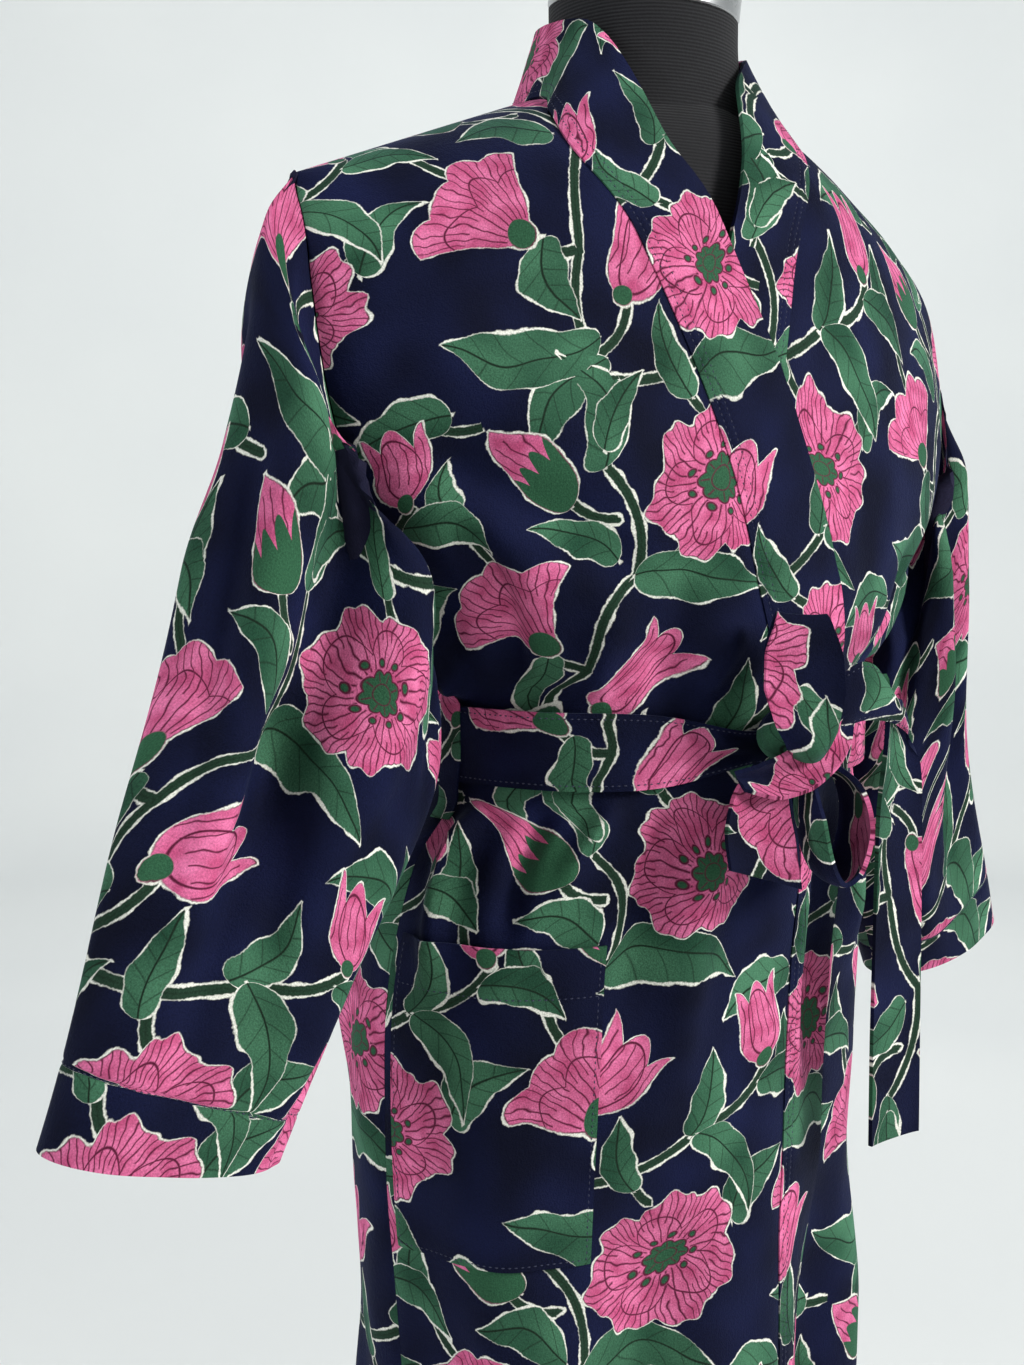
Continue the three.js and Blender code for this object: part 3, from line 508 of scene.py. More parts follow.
def leaf_fields(uv):
    """The two nearest leaves' own coordinates: share of length, share of half width, half width."""
    own, away = [], []
    for u, v, turn, length, half, bend in zip(*LEAVES.values()):
        length, half = LEAF_SIZE * length, LEAF_SIZE * half
        middle = math.radians(turn)
        base = in_repeat(uv, u + length / 2 * math.cos(middle), v + length / 2 * math.sin(middle))
        at = turned_back(base, turn)
        x = at[..., 0] / length + 0.5
        y = (at[..., 1] - bend * 4 * x * (1 - x)) / half
        own.append(np.stack([x, y, np.full_like(x, half)], -1))
        cx, cy = x.mean(1), y.mean(1)
        aside = (np.abs(cy) - leaf_width(cx)) * half
        away.append(np.maximum(aside, (np.abs(cx - 0.5) - 0.5) * length))
    own, away = np.array(own), np.array(away)
    two = np.sort(np.argsort(away, 0)[:2], 0)
    return [own[pick, np.arange(len(uv))] for pick in two]


def stem_field(uv):
    """Signed distances to the two nearest stems."""
    signed = []
    for u1, v1, u2, v2, bow in zip(*STEMS.values()):
        share = np.linspace(0, 1, STEM_STEPS + 1)[:, None]
        a, b = np.array([u1, v1]), np.array([u2, v2])
        across = np.array([v1 - v2, u2 - u1]) / np.hypot(u2 - u1, v2 - v1)
        line = a + (b - a) * share + across * bow * 4 * share * (1 - share) - (a + b) / 2
        offset = in_repeat(uv, *((a + b) / 2))
        nearest = np.full(offset.shape[:2], OUTSIDE)
        for start, end in zip(line[:-1], line[1:]):
            run = end - start
            t = np.clip(((offset - start) @ run) / (run @ run), 0, 1)
            gap = offset - start - t[..., None] * run
            far = np.linalg.norm(gap, axis=-1)
            sign = np.where(run[0] * gap[..., 1] - run[1] * gap[..., 0] < 0, -1, 1)
            nearest = np.where(far < np.abs(nearest), far * sign, nearest)
        along = offset.mean(1)
        past_end = (along - line[-1]) @ (line[-1] - line[-2]) > 0
        past = past_end | ((along - line[0]) @ (line[0] - line[1]) > 0)
        apart = past | (np.abs(nearest).min(1) > STEM_NEAR)
        signed.append(np.where(apart[:, None], np.abs(nearest), nearest))
    signed = np.array(signed)
    order = np.argsort(np.abs(signed.mean(2)), 0)[:2]
    first, second = (signed[pick, np.arange(len(uv))] for pick in order)
    return np.stack([first, second, np.zeros_like(first)], -1)


def print_fields(uv):
    """What the print's shader reads at every corner of every face."""
    upper, lower = leaf_fields(uv)
    return {"flower": flower_field(uv), "leaf_upper": upper, "leaf_lower": lower, "stem": stem_field(uv)}


# Arithmetic with material nodes


def both_ways(operation):
    """A sign of arithmetic as two methods, with the other number after it and before it."""

    def after(own, other):
        return work(operation, own, other)

    def before(own, other):
        return work(operation, other, own)

    return after, before


class Number:
    """A number worked out by a material's nodes."""

    tree = None

    def __init__(self, socket):
        self.socket = socket

    __add__, __radd__ = both_ways("ADD")
    __sub__, __rsub__ = both_ways("SUBTRACT")
    __mul__, __rmul__ = both_ways("MULTIPLY")

    def __abs__(self):
        return work("ABSOLUTE", self)


def add_node(kind, **settings):
    node = Number.tree.nodes.new(kind)
    for name, value in settings.items():
        setattr(node, name, value)
    return node


def feed(socket, value):
    if isinstance(value, Number):
        Number.tree.links.new(value.socket, socket)
    else:
        socket.default_value = value


def feed_all(node, values):
    for name, value in values.items():
        feed(node.inputs[name], value)


def work(operation, *values, clamp=False):
    node = add_node("ShaderNodeMath", operation=operation, use_clamp=clamp)
    for socket, value in zip(node.inputs, values):
        feed(socket, value)
    return Number(node.outputs[0])


def sine(value):
    return work("SINE", value)


def least(a, b):
    return work("MINIMUM", a, b)


def most(a, b):
    return work("MAXIMUM", a, b)


def length(x, y):
    return work("SQRT", x * x + y * y)


def away_from_step(value):
    """Distance from the nearest half step: 0 on a line, 0.5 midway between lines."""
    return abs(work("FRACT", value) - 0.5)


SOFT_EDGE = 0.6


def inside(distance, soft=SOFT_EDGE):
    """1 where the distance is below zero, with a soft edge."""
    return work("MULTIPLY_ADD", distance, -1 / soft, 0.5, clamp=True)


def parts(socket):
    """The three numbers of a vector or a colour."""
    node = add_node("ShaderNodeSeparateXYZ")
    feed(node.inputs[0], Number(socket))
    return [Number(output) for output in node.outputs]


def corner_field(name):
    """The three numbers of a corner field."""
    return parts(add_node("ShaderNodeAttribute", attribute_name=name).outputs["Vector"])


def cloth_noise(scale, detail, rough=0.5):
    """A noise node on the cloth, scale in waves to a metre."""
    where = add_node("ShaderNodeUVMap", uv_map="cloth").outputs[0]
    node = add_node("ShaderNodeTexNoise", noise_dimensions="2D")
    feed_all(node, {"Scale": scale, "Detail": detail, "Roughness": rough, "Vector": Number(where)})
    return node


def noise(scale, detail=1.0, rough=0.5):
    return Number(cloth_noise(scale, detail, rough).outputs[0])


def drift():
    """Two slow wanders of the drawing, so that no motif is quite like its copies."""
    wander = parts(cloth_noise(27, 0).outputs["Color"])
    return wander[0] - 0.5, wander[1] - 0.5


def mixed(share, a, b):
    """Colour a, or b where share is 1."""
    node = add_node("ShaderNodeMix", data_type="RGBA")
    feed(node.inputs["Factor"], share)
    for socket, value in ((node.inputs[6], a), (node.inputs[7], b)):
        feed(socket, value)
    return Number(node.outputs[2])


# The flowers' drawings. Each gives its outline's distance, its lines and its green parts

SEEDS = 9
LOBES = 8
BLOOM_RAYS = 28


def bloom(x, y, wobble):
    """An open flower: scalloped petals with close lines, round a disc in a ring of seeds."""
    turn = work("ARCTAN2", y, x)
    r = length(x * 0.88, y * 1.12)
    edge = r - (37.5 + abs(sine(turn * 3.5 + 0.4)) * 7 + sine(turn * 17) * 1.5)
    bent = turn * (BLOOM_RAYS / math.tau) + wobble * 0.9 + r * 0.012
    rays = away_from_step(bent) * r * (math.tau / BLOOM_RAYS)
    between = away_from_step(bent + 0.5) * r * (math.tau / BLOOM_RAYS)
    petals = abs(r - (19 + abs(sine(turn * 2.5 + 1)) * 15))
    disc = r - (9 + abs(sine(turn * (LOBES / 2))) * 2.4)
    seed_turn = away_from_step(turn * (SEEDS / math.tau)) * r * (math.tau / SEEDS)
    seeds = length(seed_turn, r - 15.5 - sine(turn * 3)) - 2.1
    heart = least(disc, seeds)
    spokes = away_from_step(turn * (LOBES / math.tau)) * r * 0.8 - 0.3
    marks = least(abs(r - 5) - 0.3, most(spokes, abs(r - 8) - 2))
    lines = most(inside(most(rays - 0.42, 12 - r)), inside(most(between - 0.38, 27 - r)))
    lines = most(lines, inside(petals - 0.55)) * inside(0.6 - heart)
    return edge, most(lines, inside(least(abs(heart) - 0.5, marks))), inside(heart)


FAN_RAYS = 4.6


def fan(x, y, wobble):
    """A side view of a frilled flower, spread from its green cup."""
    y = y + 30
    turn = work("ARCTAN2", x, y)
    r = length(x, y)
    edge = most(r - (56 + abs(sine(turn * 6.5)) * 5), (abs(turn) - 0.92) * r * 0.9)
    bent = turn * FAN_RAYS + wobble * 0.8
    rays = away_from_step(bent) * r * (1 / FAN_RAYS)
    between = away_from_step(bent + 0.5) * r * (1 / FAN_RAYS)
    frill = abs(r - (38 + abs(sine(turn * 4.2 + 0.8)) * 8))
    lines = most(inside(most(rays - 0.42, 13 - r)), inside(most(between - 0.38, 34 - r)))
    lines = most(lines, inside(frill - 0.5))
    cup = length(x, (y - 6) * 0.8) - 8
    return least(edge, cup), lines * inside(0 - cup), inside(cup)


def tulip(x, y, wobble):
    """A closed cup with three points and a few long lines."""
    sides = length(x, least(y + 6, 0) * 0.78) - 19 - y * 0.06
    crown = y - (13 + abs(sine(x * 0.15 + math.pi / 2)) * 15)
    edge = most(sides, crown)
    heart = abs(length(x * 1.3 + y * 0.1, (y + 2) * 0.72) - 16)
    veins = away_from_step(x * 0.155 + wobble * 0.9) * 6.4
    lines = most(inside(heart - 0.6), inside(most(veins - 0.4, abs(y - 2) - 17)))
    cup = length(x, y + 27) - 6
    return least(edge, cup), lines * inside(0 - cup), inside(cup)


def bud(x, y, wobble):
    """A long bud that opens out of two green leaves."""
    at = work("ADD", x * (1 / 60), 0.5, clamp=True)
    width = work("SQRT", at) * (1 - at) * 44
    edge = most(abs(y) - width, abs(x) - 30)
    veins = away_from_step(y * 0.17 + wobble * 0.9) * 5.9
    lines = inside(most(veins - 0.4, abs(x - 4) - 17))
    cup = most(edge, x + 6 - abs(sine(y * 0.3)) * 12)
    return edge, lines * inside(0 - cup), inside(cup)


def leaf(colour, name, fray, margin, tone, wander, palette):
    """Paints one leaf over the colour: white edge, green body, dark rib and veins."""
    x, y, half = corner_field(name)
    x = x + wander[0] * 0.12
    y = y + wander[1] * 0.9
    at = work("ADD", x, 0.0, clamp=True)
    width = work("SQRT", at) * (1 - at) * 2.6 * (1 + sine(x * 19) * 0.07)
    edge = most((abs(y) - width) * half, (abs(x - 0.5) - 0.5) * half * 4) + fray
    rib = abs(y) * half - 0.55
    veins = away_from_step(x * 5 - abs(y) * 0.9) * half * 0.7 - 0.28
    light = work("ADD", tone * 0.7, inside(y, 0.3) * 0.3, clamp=True)
    green = mixed(light, palette["leaf_dark"], palette["leaf_light"])
    green = mixed(most(inside(rib), inside(veins) * 0.7), green, palette["leaf_line"])
    colour = mixed(inside(edge - margin * (0.45 + inside(y, 0.4) * 0.8)), colour, palette["white"])
    return mixed(inside(edge), colour, green)


def printed_colour(palette):
    """The whole print as one colour."""
    fine, slow, patch = noise(520), noise(85), noise(21)
    fray = (fine - 0.5) * 0.9
    margin = most(slow * 4.0 - 1.05, 0.25)
    colour = mixed(work("MULTIPLY_ADD", patch, 2.2, -0.6, clamp=True), palette["navy_dark"], palette["navy"])
    first, second, _ = corner_field("stem")
    stem = least(abs(first), abs(second)) + fray - 2.5
    colour = mixed(inside(stem - margin), colour, palette["white"])
    colour = mixed(inside(stem), colour, palette["stem"])
    colour = mixed(inside(abs(stem + 2.5) - 0.3) * 0.6, colour, palette["leaf_line"])
    tone = work("MULTIPLY_ADD", patch, 3.0, -1.0, clamp=True)
    wander = drift()
    colour = leaf(colour, "leaf_lower", fray, margin, tone, wander, palette)
    colour = leaf(colour, "leaf_upper", fray, margin, tone, wander, palette)
    x, y, kind = corner_field("flower")
    x, y = x + wander[0] * 13, y + wander[1] * 13
    wobble = (slow - 0.5) * 0.8
    drawings = [draw(x, y, wobble) for draw in (bloom, fan, tulip, bud)]
    chosen = [inside(abs(kind - (i + 1)) - 0.5, 0.01) for i in range(4)]
    edge, lines, cups = (
        sum((chosen[i] * drawings[i][k] for i in range(1, 4)), chosen[0] * drawings[0][k]) for k in range(3)
    )
    none = inside(kind - 0.5, 0.01)
    edge = edge + none * OUTSIDE + fray
    pale = work("MULTIPLY_ADD", slow, 2.0, -0.5, clamp=True)
    pink = mixed(pale, palette["pink"], palette["pink_light"])
    pink = mixed(cups * inside(edge), pink, palette["cup"])
    pink = mixed(lines, pink, palette["line"])
    colour = mixed(inside(edge - margin), colour, palette["white"])
    colour = mixed(inside(edge), colour, pink)
    outline = inside(abs(edge) - 0.35) * work("MULTIPLY_ADD", slow, 3, -1, clamp=True)
    return mixed(outline, colour, palette["line"])


# Solids from grids of points


def grid_normals(points, ring=False):
    if ring:
        along = np.roll(points, -1, 1) - np.roll(points, 1, 1)
    else:
        along = np.gradient(points, axis=1)
    return unit(np.cross(along, np.gradient(points, axis=0)))


def flat_map(points, start, turn=1, ring=False, rise=0):
    """Cloth millimetres of a grid, measured along its rows and up its columns."""
    loop = np.concatenate([points, points[:, :1]], 1) if ring else points
    steps = np.linalg.norm(np.diff(loop, axis=1), axis=2)
    u = np.concatenate([np.zeros((len(points), 1)), np.cumsum(steps, 1)], 1)
    rises = np.linalg.norm(np.diff(loop, axis=0), axis=2).mean(1)
    v = np.concatenate([[0], np.cumsum(rises)]) + rise
    u = u + np.asarray(start, float).reshape(-1, 1)
    return np.stack([turn * u, turn * np.broadcast_to(v[:, None], u.shape)], -1)


def grid_quads(high, wide, ring):
    """Row and column of every quad of a grid, and its four corners."""
    columns = wide if ring else wide - 1
    j, i = [a.ravel() for a in np.meshgrid(np.arange(high - 1), np.arange(columns), indexing="ij")]
    near, far = j * wide + i, j * wide + (i + 1) % wide
    return j, i, np.stack([near, far, far + wide, near + wide], 1)


def add_mesh(name, vertices, faces, soft_angle=None):
    """A smooth mesh object in metres from vertices in millimetres."""
    mesh = bpy.data.meshes.new(name)
    mesh.from_pydata((vertices * MM).tolist(), [], faces)
    mesh.shade_smooth()
    if soft_angle:
        mesh.set_sharp_from_angle(angle=math.radians(soft_angle))
    piece = bpy.data.objects.new(name, mesh)
    bpy.context.scene.collection.objects.link(piece)
    return piece


CLOTH_SOFT_ANGLE = 50
grids = {}


def shell(name, points, normals, uv, thick, ring=False):
    """A thin closed wall with its printed side out, and its cloth millimetres at every corner."""
    grids[name] = (points, normals, ring)
    high, wide = points.shape[:2]
    vertices = np.concatenate([points.reshape(-1, 3), (points - normals * thick).reshape(-1, 3)])
    j, i, outer = grid_quads(high, wide, ring)
    under = high * wide
    quads = [outer, outer[:, [0, 3, 2, 1]] + under]
    corners = [np.stack([uv[j, i], uv[j, i + 1], uv[j + 1, i + 1], uv[j + 1, i]], 1)]
    corners.append(corners[0][:, [0, 3, 2, 1]])

    def close_edge(a, b, uv_a, uv_b, way):
        quads.append(np.stack([a, b, b + under, a + under], 1)[:, ::way])
        corners.append(np.stack([uv_a, uv_b, uv_b, uv_a], 1)[:, ::way])

    i = np.arange(wide if ring else wide - 1)
    for row, way in ((0, -1), (high - 1, 1)):
        close_edge(row * wide + i, row * wide + (i + 1) % wide, uv[row, i], uv[row, i + 1], way)
    j = np.arange(high - 1)
    for col, way in () if ring else ((0, 1), (wide - 1, -1)):
        close_edge(j * wide + col, (j + 1) * wide + col, uv[j, col], uv[j + 1, col], way)
    inner = np.zeros(sum(len(q) for q in quads), np.int32)
    inner[len(outer):2 * len(outer)] = 1
    piece = add_mesh(name, vertices, np.concatenate(quads).tolist(), CLOTH_SOFT_ANGLE)
    piece.data.polygons.foreach_set("material_index", inner)
    layer = piece.data.uv_layers.new(name="cloth")
    cloth_uv = np.concatenate(corners)
    layer.uv.foreach_set("vector", (cloth_uv * MM).astype(np.float32).ravel())
    for field, values in print_fields(cloth_uv).items():
        attribute = piece.data.attributes.new(field, "FLOAT_VECTOR", "CORNER")
        attribute.data.foreach_set("vector", values.astype(np.float32).ravel())
    return piece


# Fronts, back and bands

FRONT_COLUMNS = 62
BACK_NECK_COLUMNS = 18
NECK_ANGLE = float(angle_at(NECK_HALF, SHOULDER_Z))
across = shares(FRONT_COLUMNS)


def front_grid(side):
    """side is -1 for the right front and +1 for the left front."""
    level = LEVELS[:, None]
    seam = angle_at(read(SEAMS, SIDES[side], LEVELS), LEVELS)[:, None]
    edge = side * arm_angle(level)
    share = across[None, :]
    angle = edge + (seam - edge) * share if side < 0 else seam + (edge - seam) * share
    under = 0 if side < 0 else -lap_under(body_point(angle, level)[..., 0], level)
    arc = np.abs(edge - seam) * GIRTH_RADIUS
    roll = rolled(share * arc) + rolled((1 - share) * arc)
    return panel_point(angle, level, -1, under + roll), body_normal(angle, level)


def front(side):
    points, normals = front_grid(side)
    arc = row_length(points)
    start = points[:, -1, 0] - arc if side < 0 else points[:, 0, 0] + START["front_left"]
    return shell(f"front_{SIDES[side]}_cloth", points, normals, flat_map(points, start), WALL)


def back_angles():
    edge = arm_angle(LEVELS)[:, None]
    side = np.pi - (edge + (NECK_ANGLE - edge) * across[None, :])
    middle = np.pi - NECK_ANGLE * (1 - 2 * np.arange(1, BACK_NECK_COLUMNS) / BACK_NECK_COLUMNS)
    middle = np.broadcast_to(middle, (len(LEVELS), len(middle)))
    return np.concatenate([side, middle, (2 * np.pi - side)[:, ::-1]], 1)


def back_grid():
    angle = back_angles()
    share = np.minimum(1, np.abs(np.pi - angle) / NECK_ANGLE)
    dip = NECK_DROP * (1 - share**2)
    squeeze = np.maximum(0, LEVELS[:, None] - UNDERARM_Z) / (SHOULDER_Z - UNDERARM_Z)
    level = LEVELS[:, None] - dip * squeeze
    edge = arm_angle(LEVELS)[:, None]
    away = np.minimum(angle - (np.pi - edge), np.pi + edge - angle) * GIRTH_RADIUS
    points = panel_point(angle, level, 1, rolled(away))
    return points, body_normal(angle, level)


def back():
    points, normals = back_grid()
    arc = row_length(points)
    return shell("back_cloth", points, normals, flat_map(points, -arc / 2 + START["back"]), WALL)


def stand_point(point):
    """The band's free edge where it stands round the neck."""
    angle = np.arctan2(point[..., 1], point[..., 0])
    lift = STAND_RISE * np.maximum(0, np.sin(angle)) - STAND_FALL * np.maximum(0, -np.sin(angle))
    return joined(STAND_RADIUS * np.cos(angle), STAND_RADIUS * np.sin(angle), STAND_Z + lift)


BAND_STITCHES = (4, 9)
BAND_STEPS = (0, 0.8, 1.8, 3, 4, 5, 6.5, 8, 9, 10, 12, 16, 22, 29, 36, 43, 49, 53, 55, BAND_WIDTH)
BAND_SHARES = np.array(BAND_STEPS) / BAND_WIDTH
BACK_NECK_ROWS = 14
SEAM_STEP = 6


def dot(a, b):
    return (a * b).sum(-1)


def band_grid(side):
    """From the hem up to the centre back: rows of points from the sewn to the free edge."""

    def seam_angle(at):
        return angle_at(read(SEAMS, SIDES[side], at), at)

    def seam_beside(step):
        near = np.clip(LEVELS + step, HEM_Z, SHOULDER_Z)
        return body_point(seam_angle(near), near)

    level = LEVELS
    seam = seam_angle(level)
    layer = BAND_PROUD - (0 if side < 0 else lap_under(body_point(seam, level)[:, 0], level))
    along = unit(seam_beside(SEAM_STEP) - seam_beside(-SEAM_STEP))
    side_way = unit(np.cross(along, body_normal(seam, level)) * -side)
    low = np.minimum(level, SHOULDER_Z - 2 * SEAM_STEP)
    round_step = (body_point(seam + 0.01, low) - body_point(seam - 0.01, low)) * 50
    rising = (body_point(seam, low + 5) - body_point(seam, low - 5)) * 0.1
    skew, wide, tall = dot(round_step, rising), dot(round_step, round_step), dot(rising, rising)
    area = wide * tall - skew**2
    turn = BAND_WIDTH * (dot(side_way, round_step) * tall - dot(side_way, rising) * skew) / area
    lift = BAND_WIDTH * (dot(side_way, rising) * wide - dot(side_way, round_step) * skew) / area
    flat_level = np.clip(level + lift, HEM_Z, SHOULDER_Z)
    stand = smoothstep(STAND_START_Z, SHOULDER_Z, level)
    sewn = panel_point(seam, level, -1, layer)
    flat = panel_point(seam + turn, flat_level, -1, layer)
    free = blend(flat, stand_point(sewn), stand[:, None])
    reach = np.maximum(1, STAND_RADIUS / np.hypot(free[:, 0], free[:, 1]))
    free[:, :2] *= reach[:, None]
    share = BAND_SHARES[None, :]
    here = level[:, None] + (flat_level - level)[:, None] * share
    dip = rolled(share * BAND_WIDTH) + rolled((1 - share) * BAND_WIDTH) * 0.4
    dip = dip + sum(sunk(share * BAND_WIDTH - at) for at in BAND_STITCHES)
    proud = layer[:, None] if side > 0 else BAND_PROUD
    curved = panel_point(seam[:, None] + turn[:, None] * share, here, -1, proud + dip)
    ruled = blend(sewn[:, None], free[:, None], share[..., None])
    rows = blend(curved, ruled, stand[:, None, None])
    top = back_grid()[0][-1]
    middle = len(top) // 2
    count = BACK_NECK_COLUMNS // 2
    run = top[middle - count:middle + 1] if side > 0 else top[middle:middle + count + 1][::-1]
    at = np.linspace(0, count, BACK_NECK_ROWS + 1)[1:]
    behind = np.stack([np.interp(at, np.arange(count + 1), run[:, k]) for k in range(3)], 1)
    behind[-1, 0] = side * SEAM_GAP / 2
    upper = stand_point(behind)
    upper[-1, 0] = side * SEAM_GAP / 2
    rows = np.concatenate([rows, blend(behind[:, None], upper[:, None], share[..., None])])
    return rows if side < 0 else rows[:, ::-1]


def band(side):
    points = band_grid(side)
    normals = grid_normals(points)
    normals[-1, :, 0] = 0
    normals = unit(normals)
    name = f"band_{SIDES[side]}"
    return shell(name + "_cloth", points, normals, flat_map(points, START[name]), BAND_WALL)


# Sleeves

SLEEVE_ROWS = 100
SLEEVE_HEM = 32
SLEEVE_GAIN = 1.7
HEM_ROWS = 9
HEM_SHIFT = 34
SLEEVE_GIRTH = 62
SLEEVE_LENGTH = 480
SLEEVE_FOLDS_RIGHT = table(
    "angle1 z1 angle2 z2 bow width depth",
    (72, 40, 62, 470, 5, 9, -9),
    (98, 30, 92, 400, 6, 12, 7),
    (46, 70, 40, 360, -5, 11, 5),
    (22, 150, 28, 470, 5, 14, -4),
    (118, 10, 134, 260, 6, 9, -7),
    (146, 20, 122, 180, 4, 8, 5),
    (60, 250, 100, 470, 8, 13, -5),
    (128, 250, 112, 500, 4, 14, 5),
    (150, 300, 140, 500, 0, 10, -4),
    (210, 20, 236, 220, 5, 10, -6),
    (232, 60, 222, 420, -6, 12, 6),
    (258, 90, 270, 400, -6, 12, -7),
    (284, 120, 278, 440, 4, 14, 6),
    (320, 60, 312, 360, 0, 14, -5),
    (344, 180, 350, 480, 0, 15, 4),
)
SLEEVE_FOLDS_LEFT = table(
    "angle1 z1 angle2 z2 bow width depth",
    (80, 50, 70, 430, 5, 11, -8),
    (100, 40, 96, 380, -4, 12, 6),
    (52, 90, 44, 360, -4, 12, 5),
    (26, 120, 34, 460, 4, 15, -5),
    (118, 20, 132, 260, 6, 9, -7),
    (146, 30, 126, 190, 4, 8, 5),
    (64, 260, 96, 470, 6, 13, -5),
    (132, 280, 118, 490, 4, 14, 5),
    (214, 30, 240, 220, 5, 10, -6),
    (236, 70, 226, 400, 5, 12, 6),
    (262, 90, 254, 400, -5, 13, -6),
    (292, 140, 300, 440, 4, 15, 5),
    (326, 80, 318, 380, 4, 14, -5),
)


def armhole_loop(side):
    front_edge = panel_point(side * arm_angle(ARM_LEVELS), ARM_LEVELS, -1)
    back_edge = panel_point(np.pi - side * arm_angle(ARM_LEVELS), ARM_LEVELS, 1)
    return np.concatenate([front_edge[::-1], back_edge[1:-1]])


def sleeve_point(side, turn, at):
    share = (1 + np.cos(turn)) / 2
    depth = np.where(np.sin(turn) > 0, read(SLEEVE, "front", at), read(SLEEVE, "back", at))
    valley = read(SLEEVE, "fold", at) * hump(turn - HOLLOW_TURN, HOLLOW_WIDTH)
    lean = LEFT_LEAN * smoothstep(0, 1, at) if side > 0 else 0
    tuck = RIGHT_TUCK * smoothstep(*TUCK_FROM, at) * (1 - smoothstep(*TUCK_TO, at)) if side < 0 else 0
    names = ("inX", "outX", "inZ", "outZ", "y")
    in_x, out_x, in_z, out_z, y = (read(SLEEVE, name, at) for name in names)
    x = in_x - tuck + (out_x - in_x + tuck) * share - lean
    z = in_z + (out_z - in_z) * share
    return joined(side * x, y - depth * np.sin(turn) + valley, z)


def sleeve_grid(side):
    loop = armhole_loop(side)
    hem = 1 - (SLEEVE_HEM + np.array([3, 1, -1, -3])) / SLEEVE_LENGTH
    even = np.linspace(0, 1, SLEEVE_ROWS + 1)[1:]
    at = np.sort(np.concatenate([[0, 0.003, 0.006], even, hem]))[:, None]
    turn = (np.pi * np.arange(2 * ARM_ROWS) / ARM_ROWS)[None, :]
    settle = (loop - sleeve_point(side, turn[0], np.zeros_like(turn[0])))[None]
    points = sleeve_point(side, turn, at) + settle * (1 - smoothstep(0, SLEEVE_TOP_BEND, at))[..., None]
    if side < 0:
        points, turn = points[:, ::-1], turn[:, ::-1]
    points = np.roll(points, ARM_ROWS, 1)
    turn = np.roll(turn, ARM_ROWS, 1)
    normals = grid_normals(points, ring=True)
    folds = SLEEVE_FOLDS_RIGHT if side < 0 else SLEEVE_FOLDS_LEFT
    lift = SLEEVE_GAIN * crease_sum(folds, turn, at * SLEEVE_LENGTH, SLEEVE_GIRTH)
    lift *= smoothstep(0, 0.05, at)
    lift += 0.8 * np.sin(3 * turn + 9 * at) * np.sin(11 * at + np.cos(turn)) * smoothstep(0, 0.2, at)
    lift += 0.5 * rolled(at * SLEEVE_LENGTH) + 2 * sunk(SLEEVE_LENGTH * (1 - at) - SLEEVE_HEM)
    points = points + normals * lift[..., None]
    return points, grid_normals(points, ring=True)


def sleeve(side):
    points, normals = sleeve_grid(side)
    name = f"sleeve_{SIDES[side]}"
    uv = flat_map(points, START[name], turn=-1, ring=True)
    uv[len(uv) - HEM_ROWS:, :, 1] += HEM_SHIFT
    return shell(name + "_cloth", points, normals, uv, WALL, ring=True)


# Pocket, belt and carriers


def pocket():
    level = np.linspace(POCKET_LOW, POCKET_TOP, 42)[:, None]
    share = shares(36, 0.008)[None, :]
    inner = angle_at(POCKET_INNER, level)
    sag = POCKET_SAG * share * (1.4 - share) * (1 - smoothstep(POCKET_LOW, POCKET_LOW + 60, level))
    angle = inner + (POCKET_OUTER - inner) * (1 - share)
    height = level - POCKET_SAG + sag
    mouth = 1.6 * smoothstep(POCKET_TOP - 50, POCKET_TOP, level) * np.sin(np.pi * share)
    edge = 0.8 * (rolled(share * POCKET_WIDE) + rolled(level - POCKET_LOW))
    points = panel_point(angle, height, -1, POCKET_OFF + WALL + mouth + edge)
    arc = row_length(points)
    uv = flat_map(points, START["pocket"] - arc)
    return shell("pocket_cloth", points, body_normal(angle, height), uv, WALL)


def belt_point(angle, level, out):
    normal = body_normal(angle, level)
    normal[..., 2] = 0
    normal = unit(normal)
    return body_point(angle, level) + normal * np.asarray(out)[..., None], normal


BELT_ROWS = 26
BELT_COLUMNS = 400
PINCH_ANGLE = -0.2
PINCH_REACH = 0.3
PINCH = 0.58


def belt_waist():
    """The run round the waist, drawn together into fine folds where it enters the knot."""
    angle = full_turn(BELT_COLUMNS)
    share = shares(BELT_ROWS, 0.012)[:, None]
    away = (angle - PINCH_ANGLE + np.pi) % (2 * np.pi) - np.pi
    drawn = hump(away, PINCH_REACH)
    level = WAIST_Z + BELT_WIDTH * (share - 0.5) * (1 - PINCH * drawn)
    wave = 0.7 * np.sin(6 * angle + 8 * share) + 0.5 * np.sin(17 * angle - 5 * share)
    edge = 0.8 * (rolled(share * BELT_WIDTH) + rolled((1 - share) * BELT_WIDTH))
    pleats = drawn * (1 - hump(away, 0.1)) * (1.6 + 1.6 * np.sin(13 * share + 5 * away + 1.2))
    out = BELT_OFF + BELT_WALL + 0.4 + wave * 0.5 + edge + pleats
    points, normals = belt_point(angle, level, out)
    uv = flat_map(points, START["belt"], ring=True)
    uv[..., 1] = (share - 0.5) * BELT_WIDTH + START["belt"]
    return shell("belt_waist_cloth", points, normals, uv, BELT_WALL, ring=True)


CARRIER_WIDTH = 15
CARRIER = table(
    "z off",
    (1007, 0.9),
    (1014, 0.9),
    (1026, 5.3),
    (1074, 5.3),
    (1086, 0.9),
    (1093, 0.9),
)
CARRIER_WALL = 1.6


